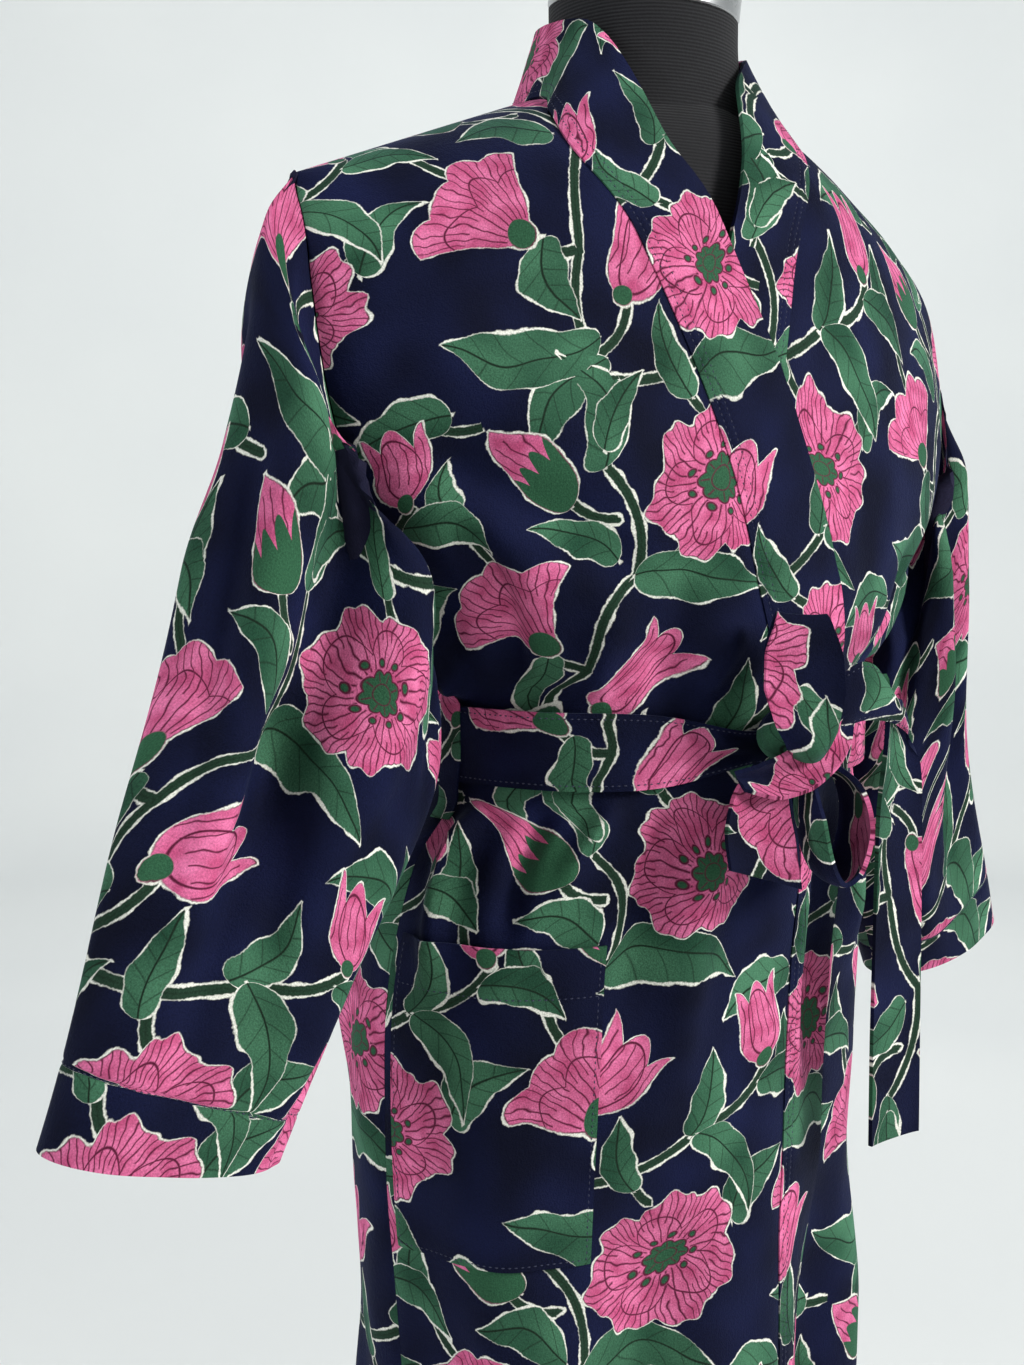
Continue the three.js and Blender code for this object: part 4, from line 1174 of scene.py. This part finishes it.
def carrier(side):
    z = np.linspace(CARRIER["z"][0], CARRIER["z"][-1], 40)[:, None]
    step = np.linspace(-1, 1, 7)[None, :]
    angle = side * np.pi / 2 + step * CARRIER_WIDTH / 2 / read(BODY, "front", z)
    off = np.interp(z, CARRIER["z"], CARRIER["off"]) + CARRIER_WALL + relief(angle, z) - 0.4 * step**4
    points, normals = belt_point(angle, z, off)
    uv = flat_map(points, START["carrier"])
    return shell(f"carrier_{SIDES[side]}_cloth", points, normals, uv, CARRIER_WALL)


# Knot and the free pieces of the belt

KNOT = {"x": -24, "y": -142.2, "z": 1059, "wide": 22, "deep": 16, "high": 17}
LOBE = table(
    "x y z yaw dip wide cup",
    (-33, -150, 1062, 36, 0, 0.5, 2),
    (-35, -154, 1086, 38, -3, 0.86, 2),
    (-37, -157, 1106, 39, -3, 0.9, 2),
    (-39, -159, 1119, 40, -3, 0.72, 1),
    (-41.5, -162.5, 1124.5, 40, -3, 0.62, 0.5),
    (-44, -166, 1119, 40, -3, 0.76, 1.5),
    (-46, -168, 1105, 39, -3, 1.0, 3),
    (-45, -167.5, 1086, 37, -2, 1.04, 3),
    (-41, -165, 1070, 33, 2, 0.8, -3),
    (-37, -164, 1060, 30, 6, 0.56, -8),
    (-31, -158, 1053, 28, 8, 0.44, -7),
)
BOW_LOOP = table(
    "x y z yaw dip wide cup",
    (-12, -147, 1050, 120, 0, 0.4, 0),
    (2, -161, 1032, 118, 2, 0.8, 2),
    (6, -164, 1008, 116, 3, 0.95, 3),
    (-1, -162, 986, 115, 0, 0.95, 3),
    (-12, -158, 979, 115, -3, 0.9, 2),
    (-22, -157, 990, 115, -2, 0.9, 3),
    (-29, -156, 1016, 116, 0, 0.9, 3),
    (-24, -147, 1046, 118, 0, 0.4, 0),
)
TAIL_LONG = table(
    "x y z yaw dip wide cup",
    (-14, -148, 1064, -10, -70, 0.5, 2),
    (0, -156, 1075, -12, -72, 0.7, 5),
    (18, -161, 1081, -14, -70, 0.86, 6),
    (42, -160, 1073, -16, -50, 1, 6),
    (61, -152, 1046, -8, -20, 1, 5),
    (69, -144, 1004, 0, 0, 1, 3),
    (72, -140, 936, 2, 2, 0.98, -1.5),
    (73, -138, 870, 4, -2, 1, 1.5),
    (73, -137, 809, 4, 0, 1, 1),
)
TAIL_SHORT = table(
    "x y z yaw dip wide cup",
    (-44, -143, 1046, 30, 0, 0.42, 4),
    (-55, -145, 1030, 28, 0, 0.74, 5),
    (-59, -148, 1008, 26, -6, 0.96, 4),
    (-58, -151, 984, 26, -16, 1.02, 3),
)
WRAP = table(
    "x y z yaw dip wide cup",
    (-70, -143, 1037, 218, 66, 0.3, 3),
    (-56, -153, 1037, 218, 67, 0.54, 8),
    (-38, -161, 1043, 219, 68, 0.62, 9),
    (-18, -163, 1052, 220, 69, 0.56, 8),
    (-2, -160, 1060, 220, 69, 0.44, 6),
    (8, -155, 1066, 220, 69, 0.34, 4),
)


def ribbon(name, rows, steps, start, columns=14):
    """A strip of belt along a centre line, its middle bowed out by the cup."""
    rows = {"at": np.arange(len(rows["x"]), dtype=float), **rows}
    at = np.linspace(0, len(rows["x"]) - 1, steps + 1)
    centre = np.stack([read(rows, axis, at) for axis in "xyz"], -1)
    yaw, dip = (np.radians(np.interp(at, rows["at"], rows[key])) for key in ("yaw", "dip"))
    side_way = np.stack([np.cos(yaw) * np.cos(dip), -np.sin(yaw) * np.cos(dip), np.sin(dip)], -1)
    wide = BELT_WIDTH * np.interp(at, rows["at"], rows["wide"])
    share = np.linspace(-0.5, 0.5, columns + 1)
    points = centre[:, None] + side_way[:, None] * (wide[:, None] * share)[..., None]
    cup = np.interp(at, rows["at"], rows["cup"])[:, None] * (1 - 4 * share**2)
    points = points + grid_normals(points) * cup[..., None]
    normals = grid_normals(points)
    distance = wide[:, None] * (0.5 - np.abs(share))
    points = points + normals * (rolled(distance) * 0.5)[..., None]
    uv = flat_map(points, start[0], rise=start[1])
    return shell(name, points, normals, uv, BELT_WALL)


def knot():
    lift = (np.linspace(-0.47, 0.47, 40) * np.pi)[:, None]
    turn = full_turn(64)
    swell = 1 + 0.07 * np.cos(3 * turn + 2 * lift) + 0.03 * np.sin(9 * turn + 5 * lift)
    x = KNOT["x"] + KNOT["wide"] * swell * np.cos(lift) * np.cos(turn)
    y = KNOT["y"] + KNOT["deep"] * swell * np.cos(lift) * np.sin(turn)
    z = KNOT["z"] + KNOT["high"] * np.sin(lift)
    points = joined(x, y, z)
    uv = flat_map(points, START["knot"], ring=True)
    return shell("belt_knot_cloth", points, grid_normals(points, ring=True), uv, BELT_WALL, ring=True)


# Stitches: small tapered threads in rows

THREAD_PITCH = 3.6
THREAD_HALF = 1.25
THREAD_WIDE = 0.42
THREAD_HIGH = 0.4
THREAD_PROUD = 0.12
THREAD_END_SINK = 0.25
STITCH_LINES = (
    ("band_right_cloth", "column", 4),
    ("band_right_cloth", "column", 9),
    ("band_left_cloth", "column", -4),
    ("band_left_cloth", "column", -9),
    ("front_right_cloth", "row", 30),
    ("front_left_cloth", "row", 30),
    ("back_cloth", "row", 30),
    ("sleeve_right_cloth", "row", -32),
    ("sleeve_left_cloth", "row", -32),
    ("pocket_cloth", "row", -28),
    ("pocket_cloth", "row", 3),
    ("pocket_cloth", "column", 3),
    ("pocket_cloth", "column", -3),
    ("belt_waist_cloth", "row", 3),
    ("belt_waist_cloth", "row", -3),
    ("belt_tail_long_cloth", "column", 3),
    ("belt_tail_long_cloth", "column", -3),
    ("belt_lobe_cloth", "column", 3),
    ("belt_lobe_cloth", "column", -3),
)


def stitch_line(name, way, distance):
    """A line across a grid at a distance from its first edge, or from its last one if negative."""
    points, normals, ring = grids[name]
    if way == "column":
        points, normals = points.swapaxes(0, 1), normals.swapaxes(0, 1)
    if distance < 0:
        points, normals = points[::-1], normals[::-1]
    steps = np.linalg.norm(np.diff(points, axis=0), axis=-1).mean(1)
    run = np.concatenate([[0], np.cumsum(steps)])
    at = np.interp(abs(distance), run, np.arange(len(run)))
    low = int(at)
    line = blend(points[low], points[low + 1], at - low)
    out = unit(blend(normals[low], normals[low + 1], at - low))
    if ring and way == "row":
        line, out = np.concatenate([line, line[:1]]), np.concatenate([out, out[:1]])
    return line, out


def along_line(run, values, at):
    """Values of a line's points at distances along it."""
    return np.stack([np.interp(at, run, values[:, k]) for k in range(3)], -1)


def stitches():
    """Every stitch as a slim six-cornered thread, all in one mesh."""
    middles, ways, outs = [], [], []
    for name, way, distance in STITCH_LINES:
        line, out = stitch_line(name, way, distance)
        run = np.concatenate([[0], np.cumsum(np.linalg.norm(np.diff(line, axis=0), axis=-1))])
        at = np.arange(THREAD_PITCH, run[-1] - THREAD_PITCH, THREAD_PITCH)
        middles.append(along_line(run, line, at))
        ways.append(unit(along_line(run, line, at + 0.8) - along_line(run, line, at - 0.8)))
        outs.append(unit(along_line(run, out, at)))
    middle, way, out = (np.concatenate(a) for a in (middles, ways, outs))
    aside = unit(np.cross(way, out))
    middle = middle + out * THREAD_PROUD
    corners = [
        middle - way * THREAD_HALF - out * THREAD_END_SINK,
        middle + way * THREAD_HALF - out * THREAD_END_SINK,
        middle + aside * THREAD_WIDE,
        middle + out * THREAD_HIGH,
        middle - aside * THREAD_WIDE,
        middle - out * THREAD_HIGH,
    ]
    vertices = np.stack(corners, 1).reshape(-1, 3)
    faces = []
    for k in range(4):
        a, b = 2 + k, 2 + (k + 1) % 4
        faces += [(0, a, b), (1, b, a)]
    faces = (np.array(faces)[None] + 6 * np.arange(len(middle))[:, None, None]).reshape(-1, 3)
    piece = add_mesh("stitches", vertices, faces.tolist())
    piece.data.materials.append(twisted_thread("thread"))
    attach(piece, "root")


# Dress form, cap and stand

FORM_SOFT_ANGLE = 40


def lathe_mesh(name, rings):
    """A closed solid through rings of points, its ends fanned in to their middles."""
    high, wide = rings.shape[:2]
    ends = rings[[0, -1]].mean(1)
    vertices = np.concatenate([rings.reshape(-1, 3), ends])
    faces = grid_quads(high, wide, True)[2].tolist()
    last = (high - 1) * wide
    for k in range(wide):
        faces.append([(k + 1) % wide, k, high * wide])
        faces.append([last + k, last + (k + 1) % wide, high * wide + 1])
    return add_mesh(name, vertices, faces, FORM_SOFT_ANGLE)


def form_body():
    angle = full_turn(FORM_COLUMNS)
    rise = np.sin(np.pi / 2 * np.linspace(0, 1, FORM_RINGS + 1))[:, None]
    level = FORM_FOOT_Z + (FORM_TOP_Z - FORM_FOOT_Z - FORM_TOP_GAP) * rise
    drop = np.minimum(1, (FORM_TOP_Z - level) / ARCH)
    arch = np.sqrt(np.maximum(0, 1 - (1 - drop) ** 2))
    half = read(FORM, "half", level)
    x = half * np.sin(angle)
    front_depth, back_depth = read(FORM, "front", level), read(FORM, "back", level)
    depth = np.where(np.cos(angle) > 0, front_depth, back_depth) * arch
    share = smoothstep(UNDERARM_Z, FORM_TOP_Z, level)
    lift = FORM_LIFT * share * middle_share(x, FORM["half"][-1])
    lift -= FORM_END_DROP * share * (np.abs(x) / half) ** 8
    rings = joined(x, read(FORM, "mid", level) - depth * np.cos(angle), level + lift)
    foot = rings[:1] * [0.9, 0.9, 1]
    foot[..., 2] = FORM_FOOT_Z - FORM_FOOT_ROUND
    return lathe_mesh("form_body_knit", np.concatenate([foot, rings]))


def form_neck():
    z = np.linspace(NECK["z"][0], NECK["z"][-1], 80)[:, None]
    turn = full_turn(FORM_COLUMNS)
    lean = smoothstep(NECK["z"][3], NECK["z"][-1], z) * math.tan(NECK_TILT)
    wide, deep = read(NECK, "wide", z), read(NECK, "deep", z)
    rings = joined(wide * np.cos(turn), deep * np.sin(turn), z + lean * deep * np.sin(turn))
    return lathe_mesh("form_neck_knit", rings)


AXIS = 0.5
CAP_PROFILE = (
    (AXIS, 0),
    (59, 0),
    (61, 2),
    (61, 12),
    (60.6, 13),
    (61, 14),
    (61, 22),
    (60, 25),
    (56, 27.5),
    (50, 28),
    (AXIS, 30),
)
BASE_PROFILE = ((AXIS, 0), (187, 0), (190, 3), (190, 8), (188, 11), (184, 12), (AXIS, 12))
POLE_FOOT_Z = 12.3
POLE_TOP_Z = FORM_FOOT_Z - 12.3
POLE_PROFILE = (
    (AXIS, POLE_FOOT_Z),
    (30, POLE_FOOT_Z),
    (28, 22),
    (15, 34),
    (12, 52),
    (12, POLE_TOP_Z - 30),
    (24, POLE_TOP_Z - 10),
    (24, POLE_TOP_Z),
    (AXIS, POLE_TOP_Z),
)


def turned(name, profile, tilt=0.0, lift=0.0):
    turn = full_turn(128)
    radius, height = (np.array(column, float)[:, None] for column in zip(*profile))
    y = radius * np.sin(turn)
    c, s = math.cos(tilt), math.sin(tilt)
    rings = joined(radius * np.cos(turn), y * c - height * s, y * s + height * c + lift)
    return lathe_mesh(name, rings)


# Materials


def srgb(*levels):
    """A linear colour from 0-255 levels."""
    return tuple(((v / 255 + 0.055) / 1.055) ** 2.4 if v > 10 else v / 3294 for v in levels) + (1.0,)


def begin(name, colour, rough, metal=0.0, sheen=0.0, specular=0.5):
    """A new material that takes the next nodes, and its shader."""
    material = bpy.data.materials.new(name)
    material.use_nodes = True
    Number.tree = material.node_tree
    shader = material.node_tree.nodes["Principled BSDF"]
    feed_all(shader, {"Base Color": colour, "Roughness": rough, "Metallic": metal})
    feed_all(shader, {"Sheen Weight": sheen, "Specular IOR Level": specular})
    return material, shader


def bumped(shader, height, strength, distance):
    bump = add_node("ShaderNodeBump")
    feed_all(bump, {"Strength": strength, "Distance": distance, "Height": height})
    feed(shader.inputs["Normal"], Number(bump.outputs[0]))


def shaded(shader, colour, value):
    shade = add_node("ShaderNodeHueSaturation")
    feed_all(shade, {"Value": value, "Color": colour})
    feed(shader.inputs["Base Color"], Number(shade.outputs[0]))


DULLER = 26
RIB_PITCH = 0.0022
PALETTE = {
    "navy": srgb(17, 22, 52),
    "navy_dark": srgb(8, 11, 30),
    "leaf_dark": srgb(32, 66, 49),
    "leaf_light": srgb(66, 110, 84),
    "leaf_line": srgb(22, 36, 26),
    "stem": srgb(32, 54, 40),
    "cup": srgb(44, 84, 60),
    "pink": srgb(176, 74, 114),
    "pink_light": srgb(212, 112, 154),
    "line": srgb(84, 26, 50),
    "white": srgb(216, 216, 206),
}


def printed_velvet(name):
    """Velvet with the print: soft nap, sheen at its turned edges, and painted sheen that makes it paler in
    random patches where it is stroked.
    """
    material, shader = begin(name, PALETTE["navy"], 0.8, sheen=0.1, specular=0.07)
    feed_all(shader, {"Sheen Roughness": 0.36, "Sheen Tint": srgb(150, 165, 215)})
    nap = noise(950, 1, 0.75)
    # Painted sheen: random patches of stroked pile are painted paler and darker.
    stroked_pile_sheen = noise(14, 1, 0.55)
    shaded(shader, printed_colour(PALETTE), work("MULTIPLY_ADD", stroked_pile_sheen, 0.7, 0.2) + nap * 0.9)
    bumped(shader, nap + noise(300) * 0.8, 0.45, 0.0007)
    return material


def solid_noise(scale, stretch=1.0, detail=3.0):
    """Noise in the object's own space, scale in waves to a metre, drawn out round the upright axis."""
    x, y, z = parts(add_node("ShaderNodeTexCoord").outputs["Object"])
    place = add_node("ShaderNodeCombineXYZ")
    feed_all(place, {"X": x, "Y": y, "Z": z * stretch})
    node = add_node("ShaderNodeTexNoise")
    feed_all(node, {"Scale": scale, "Detail": detail, "Vector": Number(place.outputs[0])})
    return Number(node.outputs[0]), z


def velvet_wrong_side(name):
    """The dull knitted back of the velvet, the print showing only as a faint mottle."""
    material, shader = begin(name, srgb(16, 19, 40), 0.95, specular=0.1)
    loops = noise(900)
    colour = mixed(noise(24), srgb(12, 15, 34), srgb(38, 36, 56))
    shaded(shader, colour, work("MULTIPLY_ADD", loops, 0.6, 0.7))
    bumped(shader, loops, 0.4, 0.0005)
    return material


def ribbed_knit(name):
    """Matt black knit with fine level ribs, their tops painted lighter and their grooves painted darker as
    light and shade.
    """
    material, shader = begin(name, srgb(22, 22, 24), 0.86, sheen=0.06, specular=0.2)
    grain, z = solid_noise(700, 1.0, 1.0)
    ribs = sine(z * (math.tau / RIB_PITCH)) * 0.5 + 0.5
    wear = solid_noise(18)[0]
    # Painted light and shade: the rib tops are lighter and the grooves darker, with random grain on top.
    colour = mixed(ribs * 0.5 + grain * 0.4, srgb(12, 12, 14), srgb(40, 40, 43))
    shaded(shader, colour, work("MULTIPLY_ADD", wear, 0.6, 0.7))
    bumped(shader, ribs + grain * 0.8, 0.5, 0.0005)
    return material


def brushed_metal(name, colour, rough, stretch):
    """Turned metal with fine marks round it and a few duller patches."""
    material, shader = begin(name, srgb(*colour), rough, metal=1.0)
    marks = solid_noise(60, 40 * stretch)[0]
    patches = solid_noise(9)[0]
    duller = srgb(*[level - DULLER for level in colour])
    shaded(shader, mixed(patches, srgb(*colour), duller), marks * 0.3 + 0.85)
    feed(shader.inputs["Roughness"], work("MULTIPLY_ADD", patches, 0.3, rough - 0.12))
    bumped(shader, marks, 0.25, 0.0002)
    return material


def twisted_thread(name):
    """Dark sewing thread with a fine twist."""
    material, shader = begin(name, srgb(20, 23, 46), 0.6)
    twist = solid_noise(2600)[0]
    shaded(shader, mixed(twist, srgb(14, 16, 36), srgb(58, 62, 92)), 1.0)
    bumped(shader, twist, 0.4, 0.0002)
    return material


def wall_paint(name):
    """Matt wall paint with a faint uneven tone."""
    material, shader = begin(name, srgb(228, 231, 230), 0.9)
    tone = solid_noise(1.1, 1.0, 1.0)[0]
    colour = mixed(tone, srgb(226, 229, 229), srgb(234, 236, 234))
    shaded(shader, colour, tone * 0.04 + 0.98)
    bumped(shader, solid_noise(140, 1.0, 1.0)[0], 0.08, 0.0006)
    return material


# Putting the pieces together

velvet = printed_velvet("velvet")
wrong_side = velvet_wrong_side("velvet_back")
knit = ribbed_knit("knit")
cap_metal = brushed_metal("cap_metal", (198, 198, 200), 0.28, 1.4)
stand_metal = brushed_metal("stand_metal", (150, 151, 154), 0.38, 0.7)


def dress(piece, node, slot, *materials):
    for material in materials:
        piece.data.materials.append(material)
    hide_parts(node)
    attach(piece, "root")


cloth = {
    "back_panel": back(),
    "front_right": front(-1),
    "front_left": front(1),
    "band_right": band(-1),
    "band_left": band(1),
    "sleeve_right": sleeve(-1),
    "sleeve_left": sleeve(1),
    "pocket_right": pocket(),
    "belt_loop_right": carrier(-1),
    "belt_loop_left": carrier(1),
    "belt_waist": belt_waist(),
    "belt_knot": knot(),
    "belt_lobe": ribbon("belt_lobe_cloth", LOBE, 84, (196, 92)),
    "belt_bow_loop": ribbon("belt_bow_loop_cloth", BOW_LOOP, 64, (96, 0)),
    "belt_tail_long": ribbon("belt_tail_long_cloth", TAIL_LONG, 90, (80, 100)),
    "belt_tail_short": ribbon("belt_tail_short_cloth", TAIL_SHORT, 34, (14, 72)),
    "belt_wrap": ribbon("belt_wrap_cloth", WRAP, 40, (184, 140)),
}
ONE_LAYER = ("back_panel", "front_right", "front_left", "sleeve_right", "sleeve_left", "pocket_right")
for node, piece in cloth.items():
    dress(piece, node, "velvet", velvet, wrong_side if node in ONE_LAYER else velvet)

stitches()
dress(form_body(), "form_torso", "knit", knit)
dress(form_neck(), "form_torso", "knit", knit)
cap = turned("neck_cap_metal", CAP_PROFILE, NECK_TILT, NECK["z"][-1] + 0.3)
dress(cap, "neck_cap", "cap_metal", cap_metal)
dress(turned("pole_metal", POLE_PROFILE), "stand_pole", "stand_metal", stand_metal)
dress(turned("base_metal", BASE_PROFILE), "stand_base", "stand_metal", stand_metal)

# Stage, lights and camera

CAMERA_PLACE = (-0.6937, -0.6973, 1.168)
CAMERA_YAW = math.radians(40)
SENSOR = 36
FOCAL_PX = 1541
FRAME_HEIGHT_PX = 1365
SHIFT_PX = -145.5
ROOM_RADIUS = 6000
ROOM_HEIGHT = 7000
ROOM_FILLET = 1500


def room():
    """A pale floor that runs up into a round wall."""
    bend = np.linspace(0, np.pi / 2, 13)
    curve = ROOM_RADIUS - ROOM_FILLET + ROOM_FILLET * np.sin(bend)
    r = np.concatenate([[10], curve, [ROOM_RADIUS]])[:, None]
    z = np.concatenate([[0], ROOM_FILLET - ROOM_FILLET * np.cos(bend), [ROOM_HEIGHT]])[:, None]
    turn = full_turn(FORM_COLUMNS)
    rings = joined(r * np.cos(turn), r * np.sin(turn), z)
    piece = add_mesh("room", rings.reshape(-1, 3), grid_quads(*rings.shape[:2], True)[2].tolist())
    piece.data.materials.append(wall_paint("wall"))


def area_light(name, place, target, size, watts, colour):
    data = bpy.data.lights.new(name, "AREA")
    data.shape = "RECTANGLE"
    data.size, data.size_y = size
    data.energy = watts
    data.color = colour
    lamp = bpy.data.objects.new(name, data)
    bpy.context.scene.collection.objects.link(lamp)
    lamp.location = place
    lamp.rotation_euler = (Vector(target) - Vector(place)).to_track_quat("-Z", "Y").to_euler()


room()
area_light("key", (1.3, -3.3, 2.7), (0, 0, 1.1), (1.0, 1.2), 172, (1.0, 0.99, 0.97))
area_light("side", (-3.4, 0.9, 2.6), (0, 0, 1.1), (1.0, 1.6), 60, (0.95, 0.97, 1.0))
area_light("wash", (1.6, 1.6, 3.6), (4.0, 4.6, 1.6), (2.0, 2.0), 56, (0.98, 0.99, 1.0))

world = bpy.data.worlds.new("soft_sky")
world.use_nodes = True
background = world.node_tree.nodes["Background"]
background.inputs["Color"].default_value = srgb(240, 244, 250)
background.inputs["Strength"].default_value = 0.36
bpy.context.scene.world = world

camera_data = bpy.data.cameras.new("camera")
camera = bpy.data.objects.new("camera", camera_data)
bpy.context.scene.collection.objects.link(camera)
camera.location = CAMERA_PLACE
camera.rotation_euler = (math.radians(90), 0, -CAMERA_YAW)
camera_data.sensor_width = SENSOR
camera_data.lens = FOCAL_PX / FRAME_HEIGHT_PX * SENSOR
camera_data.shift_y = SHIFT_PX / FRAME_HEIGHT_PX
bpy.context.scene.camera = camera
bpy.context.scene.view_settings.view_transform = "Standard"
